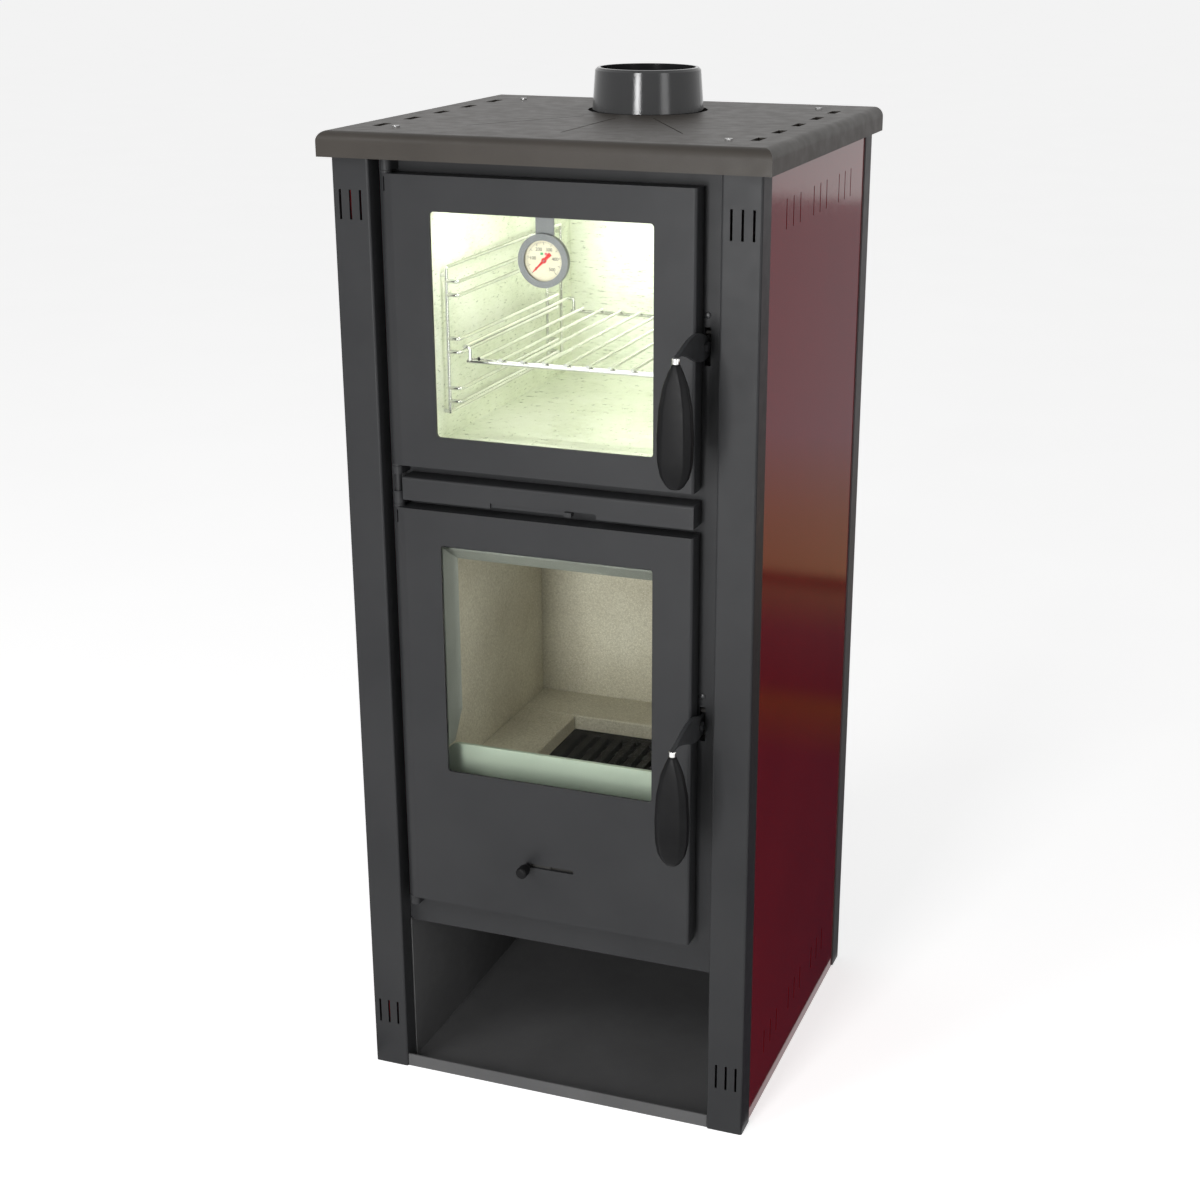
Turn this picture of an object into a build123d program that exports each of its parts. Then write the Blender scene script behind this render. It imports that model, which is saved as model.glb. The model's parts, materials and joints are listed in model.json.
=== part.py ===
from build123d import *
import math
import os

# Free-standing log stove with a baking oven. The front faces -Y, +Z is up and the origin is on the
# floor at the middle of the body. Sizes are millimetres.

# Outer body
BODY_WIDTH = 440.0
BODY_DEPTH = 420.0
TOP_HEIGHT = 1045.8          # floor to the upper face of the cook top
BODY_SHEET = 2.0
FOLD_RADIUS = 2.5
SEAT_GAP = 0.3               # clearance between loosely fitted pieces
POST_WIDTH = 40.0
RETURN_DEPTH = 28.0          # side returns of the posts and of the back panel
PANEL_SHEET = 1.5
PANEL_INSET = 1.4
PANEL_FLANGE = 12.0

# Vent slots of posts and panels
VENT_WIDTH = 2.5
VENT_LENGTH = 29.0
VENT_LOW_Z = 53.0
VENT_HIGH_Z = 960.6
POST_VENT_PITCH = 11.0
POST_VENT_COUNT = 3
POST_VENT_SHIFT = 1.0        # the middle slot lies this far outside the middle of the post
PANEL_VENT_PITCH = 24.7
PANEL_VENT_COUNT = 3
PANEL_VENT_GROUP_PITCH = 99.5
PANEL_VENT_GROUPS = 3

# Cook top
TOP_SHEET = 4.0
TOP_LIP = 24.7
TOP_SIDE_OVERHANG = 10.7
TOP_FRONT_OVERHANG = 10.4
TOP_BACK_OVERHANG = 0.5
TOP_EDGE_RADIUS = 10.0
TOP_VENT_WIDTH = 9.0
TOP_VENT_LENGTH = 28.0
TOP_VENT_X = 195.6
TOP_VENT_FIRST_Y = -146.0
TOP_VENT_PITCH = 69.5
TOP_VENT_COUNT = 5
SLIT_WIDTH = 1.4
SLIT_FOCUS_Y = 72.0
SLIT_INNER_RADIUS = 77.0
SLIT_OUTER_RADIUS = 226.0
SLIT_ANGLES = (-120.0, -90.0, -60.0)
TOP_SCREW_X = 171.5
TOP_SCREW_FRONT_Y = -163.0
TOP_SCREW_BACK_Y = 160.0

# Flue collar
FLUE_Y = 96.0
FLUE_BORE_RADIUS = 51.0
FLUE_BASE_RADIUS = 59.75
FLUE_TIP_RADIUS = 56.6
FLUE_RISE = 44.0             # above the cook top
FLUE_RIM_BEVEL = 2.5
FLUE_FLANGE_RADIUS = 78.0
FLUE_FLANGE_THICKNESS = 4.0
FLUE_HOLE_RADIUS = 64.25     # hole in the cook top
FLUE_OUTLET_MARGIN = 3.0     # the casing's outlet is this much wider than the bore

# Screws
SCREW_RADIUS = 2.0
SCREW_HEAD_RADIUS = 3.8
SCREW_HEAD_HEIGHT = 1.6
SCREW_LENGTH = 8.0
SCREW_CLEARANCE = 0.1
BOSS_RADIUS = 6.0
BOSS_SIDES = 6
BACK_SCREW_INSET = 14.0
BACK_SCREW_LEVELS = (60.0, 520.0, 980.0)
SCREW_SIDES = 8

# Storage niche
BASE_SHEET = 2.5
BASE_LIP_HEIGHT = 15.0
BASE_LIP_INSET = 2.0
NICHE_HALF_WIDTH = 179.0
NICHE_CEILING_Z = 180.0

# Front frame
FRAME_Y = -187.0             # front face of the frame plate
FRAME_SHEET = 3.0
FRAME_BOTTOM_Z = 179.3
FRAME_CORNER_RADIUS = 5.0
FIRE_OPENING_HALF_WIDTH = 126.4
FIRE_OPENING_TOP_Z = 625.0
ASH_OPENING_HALF_WIDTH = 106.0
ASH_OPENING_CLEARANCE = 2.0

# Inner casing
CASING_SHEET = 3.0
CASING_BACK_Y = 206.0
CASING_TOP_OVERHANG = 3.0
CASING_TOP_SHEET = 4.0
TOP_BOSS_HEIGHT = 11.8       # casing top to the underside of the cook top
ASH_FLOOR_Z = 240.0          # upper face
DECK_Z = 320.0               # upper face of the deck under the hearth
DECK_SHEET = 4.0
DECK_OPENING_HALF_WIDTH = 69.0
DECK_OPENING_MARGIN = 10.0   # grate resting on the deck in front of and behind the opening

# Fire lining
BRICK = 25.0
BRICK_GAP = 0.3
BRICK_CHAMFER = 1.5
FIREBOX_HALF_WIDTH = 147.0
FIREBOX_BACK_Y = 133.0
FIREBOX_FRONT_Y = -168.0
LINING_TOP_Z = 600.0
GRATE_HALF_WIDTH = 77.7
GRATE_FRONT_Y = -140.0
GRATE_BACK_Y = 62.0
GRATE_THICKNESS = 8.0
GRATE_BAR_PITCH = 17.0
GRATE_SLOT_WIDTH = 8.0
GRATE_SLOT_COUNT = 8
GRATE_SLOT_MARGIN = 14.0
BAFFLE_THICKNESS = 8.0
BAFFLE_FRONT_Y = -110.0
GUARD_HALF_WIDTH = 133.0
GUARD_HEIGHT = 53.0
GUARD_THICKNESS = 4.0
GUARD_BACK_Y = -170.0
GUARD_CORNER_RADIUS = 14.0
THROAT_HALF_WIDTH = 114.7
THROAT_TOP_Z = 609.0
THROAT_BOTTOM_Z = 400.0
THROAT_FLARE_HEIGHT = 40.0
THROAT_DEPTH = 15.0
THROAT_LAND = 1.5
THROAT_FLANGE = 12.0
THROAT_FLANGE_SHEET = 3.0

# Ash drawer
DRAWER_HALF_WIDTH = 100.0
DRAWER_FRONT_Y = -180.0
DRAWER_LENGTH = 240.0
DRAWER_HEIGHT = 62.0
DRAWER_SHEET = 1.5
DRAWER_PULL_WIDTH = 60.0
DRAWER_PULL_DEPTH = 12.0

# Oven
OVEN_HALF_WIDTH = 131.5
OVEN_FLOOR_Z = 733.0
OVEN_CEILING_Z = 985.5
OVEN_BACK_Y = 198.0
OVEN_SHEET = 1.5
WIRE_RADIUS = 2.0
WIRE_SIDES = 8
WIRE_CORNER = 4.0            # length cut off each side of a bent corner
WIRE_WELD = 0.6              # depth by which crossing wires are welded into each other
RACK_RAIL_X = 112.5
RACK_FRAME_X = 125.5
RACK_FRONT_Y = -156.0
RACK_MIDDLE_Y = 110.0
RACK_BACK_Y = 152.0
RACK_BOTTOM_Z = 760.0
RACK_TOP_Z = 910.0
RAIL_PAIR_GAP = 13.8
RAIL_LEVELS = (772.8, 824.0, 882.1)
SHELF_LEVEL = 1              # which pair of rails carries the shelf
SHELF_DROP = 14.3            # the grid hangs this far below its runners
SHELF_FRONT_Y = -148.0
SHELF_BACK_Y = 140.0
SHELF_SIDE_X = 105.0
SHELF_DOUBLE_PITCH = 8.0
SHELF_WIRE_PITCH = 23.7
SHELF_WIRE_COUNT = 9
SHELF_CORNER = 3.0
SHELF_WIRE_OVERLAP = 3.2     # length by which a cross wire reaches past a runner's middle line
SHELF_LONG_OVERLAP = 1.2

# Doors
DOOR_FRONT_Y = -211.5
DOOR_BACK_Y = -191.0
DOOR_SHEET = 3.0
DOOR_RIGHT_X = 157.5
DOOR_ROLL_X = -155.0         # where the flat front turns into the rolled hinge edge
DOOR_ROLL_RADIUS = 19.0
DOOR_EDGE_RADIUS = 3.5
WINDOW_HALF_WIDTH = 115.4
WINDOW_RADIUS = 4.0
OVEN_DOOR_Z = (715.6, 1006.9)
OVEN_WINDOW_Z = (748.3, 972.7)
OVEN_SEAL_Z = (731.6, 987.0)
FIRE_DOOR_Z = (221.7, 670.5)
FIRE_WINDOW_Z = (381.0, 634.3)
FIRE_SEAL_Z = (236.4, 648.0)
SEAL_HALF_WIDTH = 134.0      # inside of the seal channel
SEAL_SIZE = 8.0
SEAL_PLAY = 0.2
CHANNEL_SHEET = 1.5
CHANNEL_LIP = 4.0
GLASS_THICKNESS = 4.0
GLASS_LAP = 12.0
GLASS_PLAY = 0.5
CLIP_FINGER = 6.9
CLIP_SHEET = 1.5
CLIP_WIDTH = 14.0
OVEN_CLIP_LEVELS = (780.0, 860.0, 940.0)
FIRE_CLIP_LEVELS = (420.0, 507.0, 595.0)

# Hinges
HINGE_X = -164.0
HINGE_Y = -203.5
HINGE_PIN_RADIUS = 3.3
HINGE_PLAY = 0.1
HINGE_RING_RADIUS = 5.5
HINGE_GAP = 0.3
DOOR_BOSS = 2.4
LUG_HEIGHT = 8.0
TOP_LUG_HEIGHT = 10.0
LOW_LUG_HEIGHT = 13.5
PIN_REACH = 17.0             # length of pin inside a door
PIN_END = 1.0
SLIT_OF_HINGE = 2.0

# Door handles
ARM_X = (159.6, 163.4)
PIVOT_Y = -199.0
PIVOT_RADIUS = 3.0
PIVOT_PLAY = 0.07
PIVOT_SHOULDER_RADIUS = 5.0
PIVOT_HEAD_HEIGHT = 3.4
PIVOT_HEAD_SIDES = 6
PIVOT_GAP = 0.3
PIVOT_END = 3.0
OVEN_PIVOT_Z = 858.0
FIRE_PIVOT_Z = 468.2
LATCH_SLOT_X = (158.6, 164.8)
LATCH_SLOT_BELOW = 21.0      # slot ends, below and above the pivot
LATCH_SLOT_ABOVE = 16.5
POCKET_X = (155.5, 169.5)
POCKET_DEPTH = 13.5
POCKET_SHEET = 1.5
POCKET_MARGIN = 2.0
KEEPER_RADIUS = 2.3
KEEPER_Y = -180.6
KEEPER_RISE = 10.4
FERRULE_RADIUS = 3.8
FERRULE_HEIGHT = 6.2
FERRULE_Y = -280.6
FERRULE_RISE = -0.4          # lower end of the ferrule, from the pivot
GRIP_LENGTH = 118.0
GRIP_X = 161.5
GRIP_BEVEL_SHARE = 0.56      # share of the grip's depth, front or back of its middle, that is bevelled
GRIP_BEVEL_SLOPE = 1.2       # width to depth of a bevel
# Half width, front and back of the grip, down its length from top (0) to bottom (1)
GRIP_SECTIONS = (
    (0.00, 3.9, 3.9, 3.9),
    (0.07, 7.6, 5.4, 5.2),
    (0.17, 11.9, 7.0, 6.6),
    (0.35, 15.9, 8.6, 7.8),
    (0.58, 17.5, 9.4, 8.2),
    (0.78, 16.9, 9.0, 7.6),
    (0.90, 13.9, 7.8, 6.4),
    (0.97, 9.0, 5.6, 4.4),
    (1.00, 5.0, 3.4, 2.6),
)

# Air controls
COVER_X = (-156.0, 157.5)
COVER_Z = (679.5, 703.5)
COVER_SHEET = 2.5
COVER_EDGE_RADIUS = 3.0
COVER_NOTCH_X = (-58.7, 55.9)
COVER_NOTCH_HEIGHT = 5.5
SLIDER_SHEET = 2.0
SLIDER_GAP = 0.2
SECONDARY_TRAVEL = 25.0
SECONDARY_TAB_X = (22.8, 30.3)
SECONDARY_TAB_REACH = 3.0
SECONDARY_TAB_HEIGHT = 5.0
FRAME_AIR_SLOT_Z = (686.0, 698.0)
FRAME_AIR_SLOT_HALF_WIDTH = 55.0
PRIMARY_TRAVEL = 48.0
PRIMARY_X = -23.7
PRIMARY_Z = 284.6
PRIMARY_SLOT_HEIGHT = 4.6
PRIMARY_STEM_RADIUS = 2.0
PRIMARY_SLIDER_LENGTH = 130.0
PRIMARY_SLIDER_HEIGHT = 28.0
PRIMARY_PORT_LENGTH = 26.0
PRIMARY_PORT_HEIGHT = 14.0
PRIMARY_PORT_PITCH = 74.0
KNOB_RADIUS = 6.2
KNOB_NECK_RADIUS = 3.6
KNOB_GAP = 1.2
KNOB_NECK_LENGTH = 4.0
KNOB_SHOULDER_LENGTH = 6.0
KNOB_BEVEL = 1.8
KNOB_LENGTH = 22.0
GUIDE_HEIGHT = 9.0
DEFLECTOR_SHEET = 2.0
DEFLECTOR_HALF_WIDTH = 128.0

# Oven thermometer
DIAL_Z = 930.5
DIAL_CASE_RADIUS = 25.9
DIAL_FACE_RADIUS = 19.6
DIAL_CASE_SHEET = 1.0
DIAL_CASE_DEPTH = 6.0
DIAL_SHEET = 0.5
DIAL_LENS = 1.0
DIAL_STRAP_WIDTH = 19.0
DIAL_STRAP_SHEET = 1.5
DIAL_STRAP_BELOW = 22.0
NEEDLE_SHEET = 0.5
NEEDLE_LENGTH = 16.0
NEEDLE_TAIL = 9.5
NEEDLE_HUB_RADIUS = 2.6
NEEDLE_POST_RADIUS = 0.8
NEEDLE_PLAY = 0.07
NEEDLE_REST_ANGLE = 225.0    # clockwise from the top of the dial, seen from the front

# Worked-out places
BODY_X = BODY_WIDTH / 2
BODY_FRONT_Y = -BODY_DEPTH / 2
BODY_BACK_Y = BODY_DEPTH / 2
BODY_TOP_Z = TOP_HEIGHT - TOP_SHEET
POST_INNER_X = BODY_X - POST_WIDTH
FRAME_BACK_Y = FRAME_Y + FRAME_SHEET
CASING_X = FIREBOX_HALF_WIDTH + BRICK + BRICK_GAP
CASING_TOP_Z = BODY_TOP_Z - TOP_BOSS_HEIGHT
CASING_FLOOR_Z = NICHE_CEILING_Z + BODY_SHEET
DECK_BOTTOM_Z = DECK_Z - DECK_SHEET
HEARTH_Z = DECK_Z + BRICK
DOOR_INNER_Y = DOOR_FRONT_Y + DOOR_SHEET
GLASS_BACK_Y = DOOR_INNER_Y + GLASS_THICKNESS
COVER_INNER_Y = DOOR_FRONT_Y + COVER_SHEET
DIAL_FRONT_Y = GLASS_BACK_Y + SEAT_GAP
DIAL_BACK_Y = DIAL_FRONT_Y + DIAL_CASE_DEPTH


def block(x0, x1, y0, y1, z0, z1):
    """Box between two corners."""
    middle = Pos((x0 + x1) / 2, (y0 + y1) / 2, (z0 + z1) / 2)
    return middle * Box(x1 - x0, y1 - y0, z1 - z0)


def rod(start, end, radius):
    """Round bar from one point to another."""
    line = Vector(*end) - Vector(*start)
    return Solid.make_cylinder(radius, line.length, Plane(origin=start, z_dir=line))


def upright(x, y, z0, z1, radius):
    """Round bar along Z."""
    return rod((x, y, z0), (x, y, z1), radius)


def mirrored(shape):
    """The same piece on the other side of the stove."""
    return mirror(shape, about=Plane.YZ)


def spread(count, pitch):
    """Evenly spaced places, centred on zero."""
    return [(i - (count - 1) / 2) * pitch for i in range(count)]


def ring(half_width, z0, z1, wall, y0, y1, radius=0.0):
    """Rectangular ring in the plane of a door, its inside given and its wall outside that."""
    outer = block(-half_width - wall, half_width + wall, y0, y1, z0 - wall, z1 + wall)
    inner = block(-half_width, half_width, y0, y1, z0, z1)
    if radius > 0:
        outer = fillet(outer.edges().filter_by(Axis.Y), radius + wall)
        inner = fillet(inner.edges().filter_by(Axis.Y), radius)
    return outer - inner


def outline_face(*lines):
    """Face inside a closed outline of lines and curves."""
    return make_face([edge for line in lines for edge in line.edges()])


def flat_face(points):
    """Flat face within straight lines from point to point."""
    return make_face(Polyline(*points, close=True))


# Outer body

def vent_slots(places, sheet_box):
    """Low and high rows of upright slots, cut through one sheet."""
    return [sheet_box(place, z) for place in places for z in (VENT_LOW_Z, VENT_HIGH_Z)]


def right_post():
    """Folded front post: front face, outer return and inner return down to the frame."""
    post = block(POST_INNER_X, BODY_X, BODY_FRONT_Y, BODY_FRONT_Y + RETURN_DEPTH, 0, BODY_TOP_Z)
    post = fillet(post.edges().filter_by(Axis.Z).group_by(Axis.Y)[0], FOLD_RADIUS)
    inside_front = BODY_FRONT_Y + BODY_SHEET
    post -= block(POST_INNER_X + BODY_SHEET, BODY_X - BODY_SHEET, inside_front, FRAME_Y + RETURN_DEPTH,
                  0, BODY_TOP_Z)
    post -= block(POST_INNER_X - 1, POST_INNER_X + BODY_SHEET, FRAME_Y - SEAT_GAP,
                  FRAME_Y + RETURN_DEPTH, 0, BODY_TOP_Z)
    middle = (POST_INNER_X + BODY_X) / 2 + POST_VENT_SHIFT
    places = [middle + x for x in spread(POST_VENT_COUNT, POST_VENT_PITCH)]

    def slot(x, z):
        return block(x - VENT_WIDTH / 2, x + VENT_WIDTH / 2, BODY_FRONT_Y - 1, inside_front,
                     z, z + VENT_LENGTH)

    return post - vent_slots(places, slot)


def right_side_panel():
    """Enamelled side panel with folded front and back edges and groups of slots."""
    face_x = BODY_X - PANEL_INSET
    inner_x = face_x - PANEL_SHEET
    front_y = BODY_FRONT_Y + RETURN_DEPTH + SEAT_GAP
    back_y = BODY_BACK_Y - RETURN_DEPTH - SEAT_GAP
    panel = block(inner_x - PANEL_FLANGE, face_x, front_y, back_y, 0, BODY_TOP_Z)
    panel = fillet(panel.edges().filter_by(Axis.Z).group_by(Axis.X)[-1], FOLD_RADIUS / 2)
    panel -= block(inner_x - PANEL_FLANGE, inner_x, front_y + PANEL_SHEET, back_y - PANEL_SHEET,
                   0, BODY_TOP_Z)
    places = [group + y for group in spread(PANEL_VENT_GROUPS, PANEL_VENT_GROUP_PITCH)
              for y in spread(PANEL_VENT_COUNT, PANEL_VENT_PITCH)]

    def slot(y, z):
        return block(inner_x, face_x + 1, y - VENT_WIDTH / 2, y + VENT_WIDTH / 2, z, z + VENT_LENGTH)

    return panel - vent_slots(places, slot)


def back_screw_places():
    """Screws of the back panel as (x, z)."""
    x = BODY_X - BACK_SCREW_INSET
    return [(side * x, z) for side in (-1, 1) for z in BACK_SCREW_LEVELS]


def back_panel():
    """Rear sheet with side returns."""
    panel = block(-BODY_X, BODY_X, BODY_BACK_Y - RETURN_DEPTH, BODY_BACK_Y, 0, BODY_TOP_Z)
    panel = fillet(panel.edges().filter_by(Axis.Z).group_by(Axis.Y)[-1], FOLD_RADIUS)
    inner_y = BODY_BACK_Y - BODY_SHEET
    panel -= block(-BODY_X + BODY_SHEET, BODY_X - BODY_SHEET, BODY_BACK_Y - RETURN_DEPTH, inner_y,
                   0, BODY_TOP_Z)
    holes = [rod((x, inner_y - 1, z), (x, BODY_BACK_Y + 1, z), SCREW_RADIUS + SCREW_CLEARANCE)
             for x, z in back_screw_places()]
    return panel - holes


def bar(start, end, radius, sides):
    """Straight bar of a regular section from one point to another."""
    line = Vector(*end) - Vector(*start)
    section = Plane(origin=start, z_dir=line) * RegularPolygon(radius, sides)
    return extrude(section, amount=line.length)


def screw(seat, direction):
    """Screw whose round head sits on a face; direction points into the piece."""
    into = Vector(*direction)
    place = Vector(*seat)
    shank = bar(place, place + into * SCREW_LENGTH, SCREW_RADIUS, SCREW_SIDES)
    return shank + bar(place, place - into * SCREW_HEAD_HEIGHT, SCREW_HEAD_RADIUS, 2 * SCREW_SIDES)


def top_screw_places():
    """Screws of the cook top as (x, y)."""
    return [(side * TOP_SCREW_X, y) for side in (-1, 1) for y in (TOP_SCREW_FRONT_Y, TOP_SCREW_BACK_Y)]


def panel_screws():
    """Screws of the back panel and of the cook top."""
    screws = [screw((x, BODY_BACK_Y, z), (0, -1, 0)) for x, z in back_screw_places()]
    screws += [screw((x, y, TOP_HEIGHT), (0, 0, -1)) for x, y in top_screw_places()]
    return Compound(screws)


# Cook top and flue collar

def hood(side_x, front_y, back_y, z0, z1, radius):
    """Block with its front and side upper edges rounded, meeting in mitred corners."""
    across = Pos(0, 0, (z0 + z1) / 2) * Box(2 * side_x, 2 * BODY_DEPTH, z1 - z0)
    across = fillet(across.edges().filter_by(Axis.Y).group_by(Axis.Z)[-1], radius)
    along = block(-side_x, side_x, front_y, back_y, z0, z1)
    along = fillet(along.edges().filter_by(Axis.X).group_by(Axis.Z)[-1].sort_by(Axis.Y)[0], radius)
    return across & along


def top_plate():
    """Pressed cook top with its lip, flue hole, vent slots, expansion slits and screw holes."""
    side_x = BODY_X + TOP_SIDE_OVERHANG
    front_y = BODY_FRONT_Y - TOP_FRONT_OVERHANG
    back_y = BODY_BACK_Y + TOP_BACK_OVERHANG
    lip_z = TOP_HEIGHT - TOP_LIP
    plate = hood(side_x, front_y, back_y, lip_z, TOP_HEIGHT, TOP_EDGE_RADIUS)
    plate -= hood(side_x - TOP_SHEET, front_y + TOP_SHEET, back_y + TOP_SHEET, lip_z - TOP_SHEET,
                  BODY_TOP_Z, TOP_EDGE_RADIUS - TOP_SHEET)
    cuts = [upright(0, FLUE_Y, BODY_TOP_Z - 1, TOP_HEIGHT + 1, FLUE_HOLE_RADIUS)]
    cuts += [upright(x, y, BODY_TOP_Z - 1, TOP_HEIGHT + 1, SCREW_RADIUS + SCREW_CLEARANCE)
             for x, y in top_screw_places()]
    for side in (-1, 1):
        for i in range(TOP_VENT_COUNT):
            place = Pos(side * TOP_VENT_X, TOP_VENT_FIRST_Y + i * TOP_VENT_PITCH, TOP_HEIGHT)
            cuts.append(place * Box(TOP_VENT_WIDTH, TOP_VENT_LENGTH, 3 * TOP_SHEET))
    slit_length = SLIT_OUTER_RADIUS - SLIT_INNER_RADIUS
    slit_middle = (SLIT_OUTER_RADIUS + SLIT_INNER_RADIUS) / 2
    for angle in SLIT_ANGLES:
        slit = Pos(slit_middle, 0, 0) * Box(slit_length, SLIT_WIDTH, 2 * TOP_SHEET)
        cuts.append(Pos(0, SLIT_FOCUS_Y, TOP_HEIGHT) * Rot(0, 0, angle) * slit)
    return plate - cuts


def flue_collar():
    """Flue spigot: flange on the casing, slightly tapered tube and bevelled rim."""
    rim_z = TOP_HEIGHT + FLUE_RISE
    half = [
        (FLUE_BORE_RADIUS, CASING_TOP_Z),
        (FLUE_FLANGE_RADIUS, CASING_TOP_Z),
        (FLUE_FLANGE_RADIUS, CASING_TOP_Z + FLUE_FLANGE_THICKNESS),
        (FLUE_BASE_RADIUS, CASING_TOP_Z + FLUE_FLANGE_THICKNESS),
        (FLUE_BASE_RADIUS, TOP_HEIGHT),
        (FLUE_TIP_RADIUS, rim_z - FLUE_RIM_BEVEL),
        (FLUE_TIP_RADIUS - FLUE_RIM_BEVEL, rim_z),
        (FLUE_BORE_RADIUS, rim_z),
    ]
    return Pos(0, FLUE_Y, 0) * revolve(Plane.XZ * make_face(Polyline(*half, close=True)), Axis.Z)


# Storage niche

def base_plate():
    """Floor tray of the niche with its upturned front lip."""
    inner_x = BODY_X - PANEL_INSET - PANEL_SHEET - SEAT_GAP
    lip_x = POST_INNER_X - SEAT_GAP
    lip_y = BODY_FRONT_Y + BASE_LIP_INSET
    back_y = BODY_BACK_Y - BODY_SHEET - SEAT_GAP
    floor = block(-lip_x, lip_x, lip_y, FRAME_Y, 0, BASE_SHEET)
    flanged_back_y = BODY_BACK_Y - RETURN_DEPTH - SEAT_GAP - PANEL_SHEET - SEAT_GAP
    flange_x = inner_x - PANEL_FLANGE - SEAT_GAP
    flange_front_y = BODY_FRONT_Y + RETURN_DEPTH + SEAT_GAP + PANEL_SHEET + SEAT_GAP
    floor += block(-flange_x, flange_x, FRAME_Y, back_y, 0, BASE_SHEET)
    floor += block(-inner_x, inner_x, flange_front_y, flanged_back_y, 0, BASE_SHEET)
    lip = block(-lip_x, lip_x, lip_y, lip_y + BODY_SHEET, 0, BASE_LIP_HEIGHT)
    return floor + lip


def niche_right_wall():
    """Side wall of the niche, from the floor tray to the ceiling."""
    return block(NICHE_HALF_WIDTH, NICHE_HALF_WIDTH + BODY_SHEET, FRAME_Y,
                 BODY_BACK_Y - BODY_SHEET - SEAT_GAP, BASE_SHEET, NICHE_CEILING_Z)


def niche_ceiling():
    """Ceiling of the niche, which also carries the casing."""
    wide_x = BODY_X - PANEL_INSET - PANEL_SHEET - PANEL_FLANGE - 2 * SEAT_GAP
    return block(-wide_x, wide_x, FRAME_BACK_Y, BODY_BACK_Y - BODY_SHEET - SEAT_GAP,
                 NICHE_CEILING_Z, CASING_FLOOR_Z)


# Inner casing

def casing_right_wall():
    """Side plate of the welded casing."""
    return block(CASING_X, CASING_X + CASING_SHEET, FRAME_BACK_Y, CASING_BACK_Y - CASING_SHEET,
                 CASING_FLOOR_Z, CASING_TOP_Z - CASING_TOP_SHEET)


def casing_back_wall():
    """Rear plate of the welded casing."""
    wide_x = CASING_X + CASING_SHEET
    return block(-wide_x, wide_x, CASING_BACK_Y - CASING_SHEET, CASING_BACK_Y,
                 CASING_FLOOR_Z, CASING_TOP_Z - CASING_TOP_SHEET)


def casing_top():
    """Lid of the casing with the flue outlet and threaded bosses for the cook top's screws."""
    wide_x = CASING_X + CASING_SHEET + CASING_TOP_OVERHANG
    lid = block(-wide_x, wide_x, FRAME_BACK_Y, CASING_BACK_Y, CASING_TOP_Z - CASING_TOP_SHEET,
                CASING_TOP_Z)
    lid -= upright(0, FLUE_Y, CASING_TOP_Z - CASING_TOP_SHEET, CASING_TOP_Z,
                   FLUE_BORE_RADIUS + FLUE_OUTLET_MARGIN)
    for x, y in top_screw_places():
        lid += bar((x, y, CASING_TOP_Z), (x, y, BODY_TOP_Z), BOSS_RADIUS, BOSS_SIDES)
        lid -= upright(x, y, TOP_HEIGHT - SCREW_LENGTH - 1, BODY_TOP_Z, SCREW_RADIUS + SCREW_CLEARANCE)
    return lid


def ash_floor():
    """Plate that the ash drawer slides on."""
    return block(-CASING_X, CASING_X, FRAME_BACK_Y, CASING_BACK_Y - CASING_SHEET,
                 ASH_FLOOR_Z - CASING_SHEET, ASH_FLOOR_Z)


def hearth_deck():
    """Plate under the hearth bricks, open below the grate."""
    deck = block(-CASING_X, CASING_X, FRAME_BACK_Y, CASING_BACK_Y - CASING_SHEET, DECK_BOTTOM_Z, DECK_Z)
    return deck - block(-DECK_OPENING_HALF_WIDTH, DECK_OPENING_HALF_WIDTH,
                        GRATE_FRONT_Y + DECK_OPENING_MARGIN, GRATE_BACK_Y - DECK_OPENING_MARGIN,
                        DECK_BOTTOM_Z, DECK_Z)


def firebox_back_wall():
    """Plate behind the back firebrick."""
    front_y = FIREBOX_BACK_Y + BRICK + BRICK_GAP
    return block(-CASING_X, CASING_X, front_y, front_y + CASING_SHEET, DECK_Z,
                 LINING_TOP_Z + BAFFLE_THICKNESS)


# Front frame with hinge lugs

def latch_slot(pivot_z):
    """Upright slot that a latch nose passes through."""
    return block(*LATCH_SLOT_X, FRAME_Y - 1, FRAME_BACK_Y + 1, pivot_z - LATCH_SLOT_BELOW,
                 pivot_z + LATCH_SLOT_ABOVE)


def hinge_lug(z0, z1):
    """Tongue from the frame to a hinge pin, rounded round the pin."""
    lug = block(HINGE_X - HINGE_RING_RADIUS, HINGE_X + HINGE_RING_RADIUS, HINGE_Y, FRAME_Y, z0, z1)
    lug += upright(HINGE_X, HINGE_Y, z0, z1, HINGE_RING_RADIUS)
    return lug - upright(HINGE_X, HINGE_Y, z0, z1, HINGE_PIN_RADIUS + HINGE_PLAY)


def lug_heights():
    """Lower and upper end of each lug, from the top of the frame down."""
    top = OVEN_DOOR_Z[1] + DOOR_BOSS + HINGE_GAP
    middle = OVEN_DOOR_Z[0] - DOOR_BOSS - HINGE_GAP
    low = FIRE_DOOR_Z[1] + DOOR_BOSS + HINGE_GAP
    bottom = FIRE_DOOR_Z[0] - DOOR_BOSS - HINGE_GAP
    return ((top, top + TOP_LUG_HEIGHT), (middle - LUG_HEIGHT, middle), (low, low + LOW_LUG_HEIGHT),
            (bottom - LUG_HEIGHT, bottom))


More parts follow.
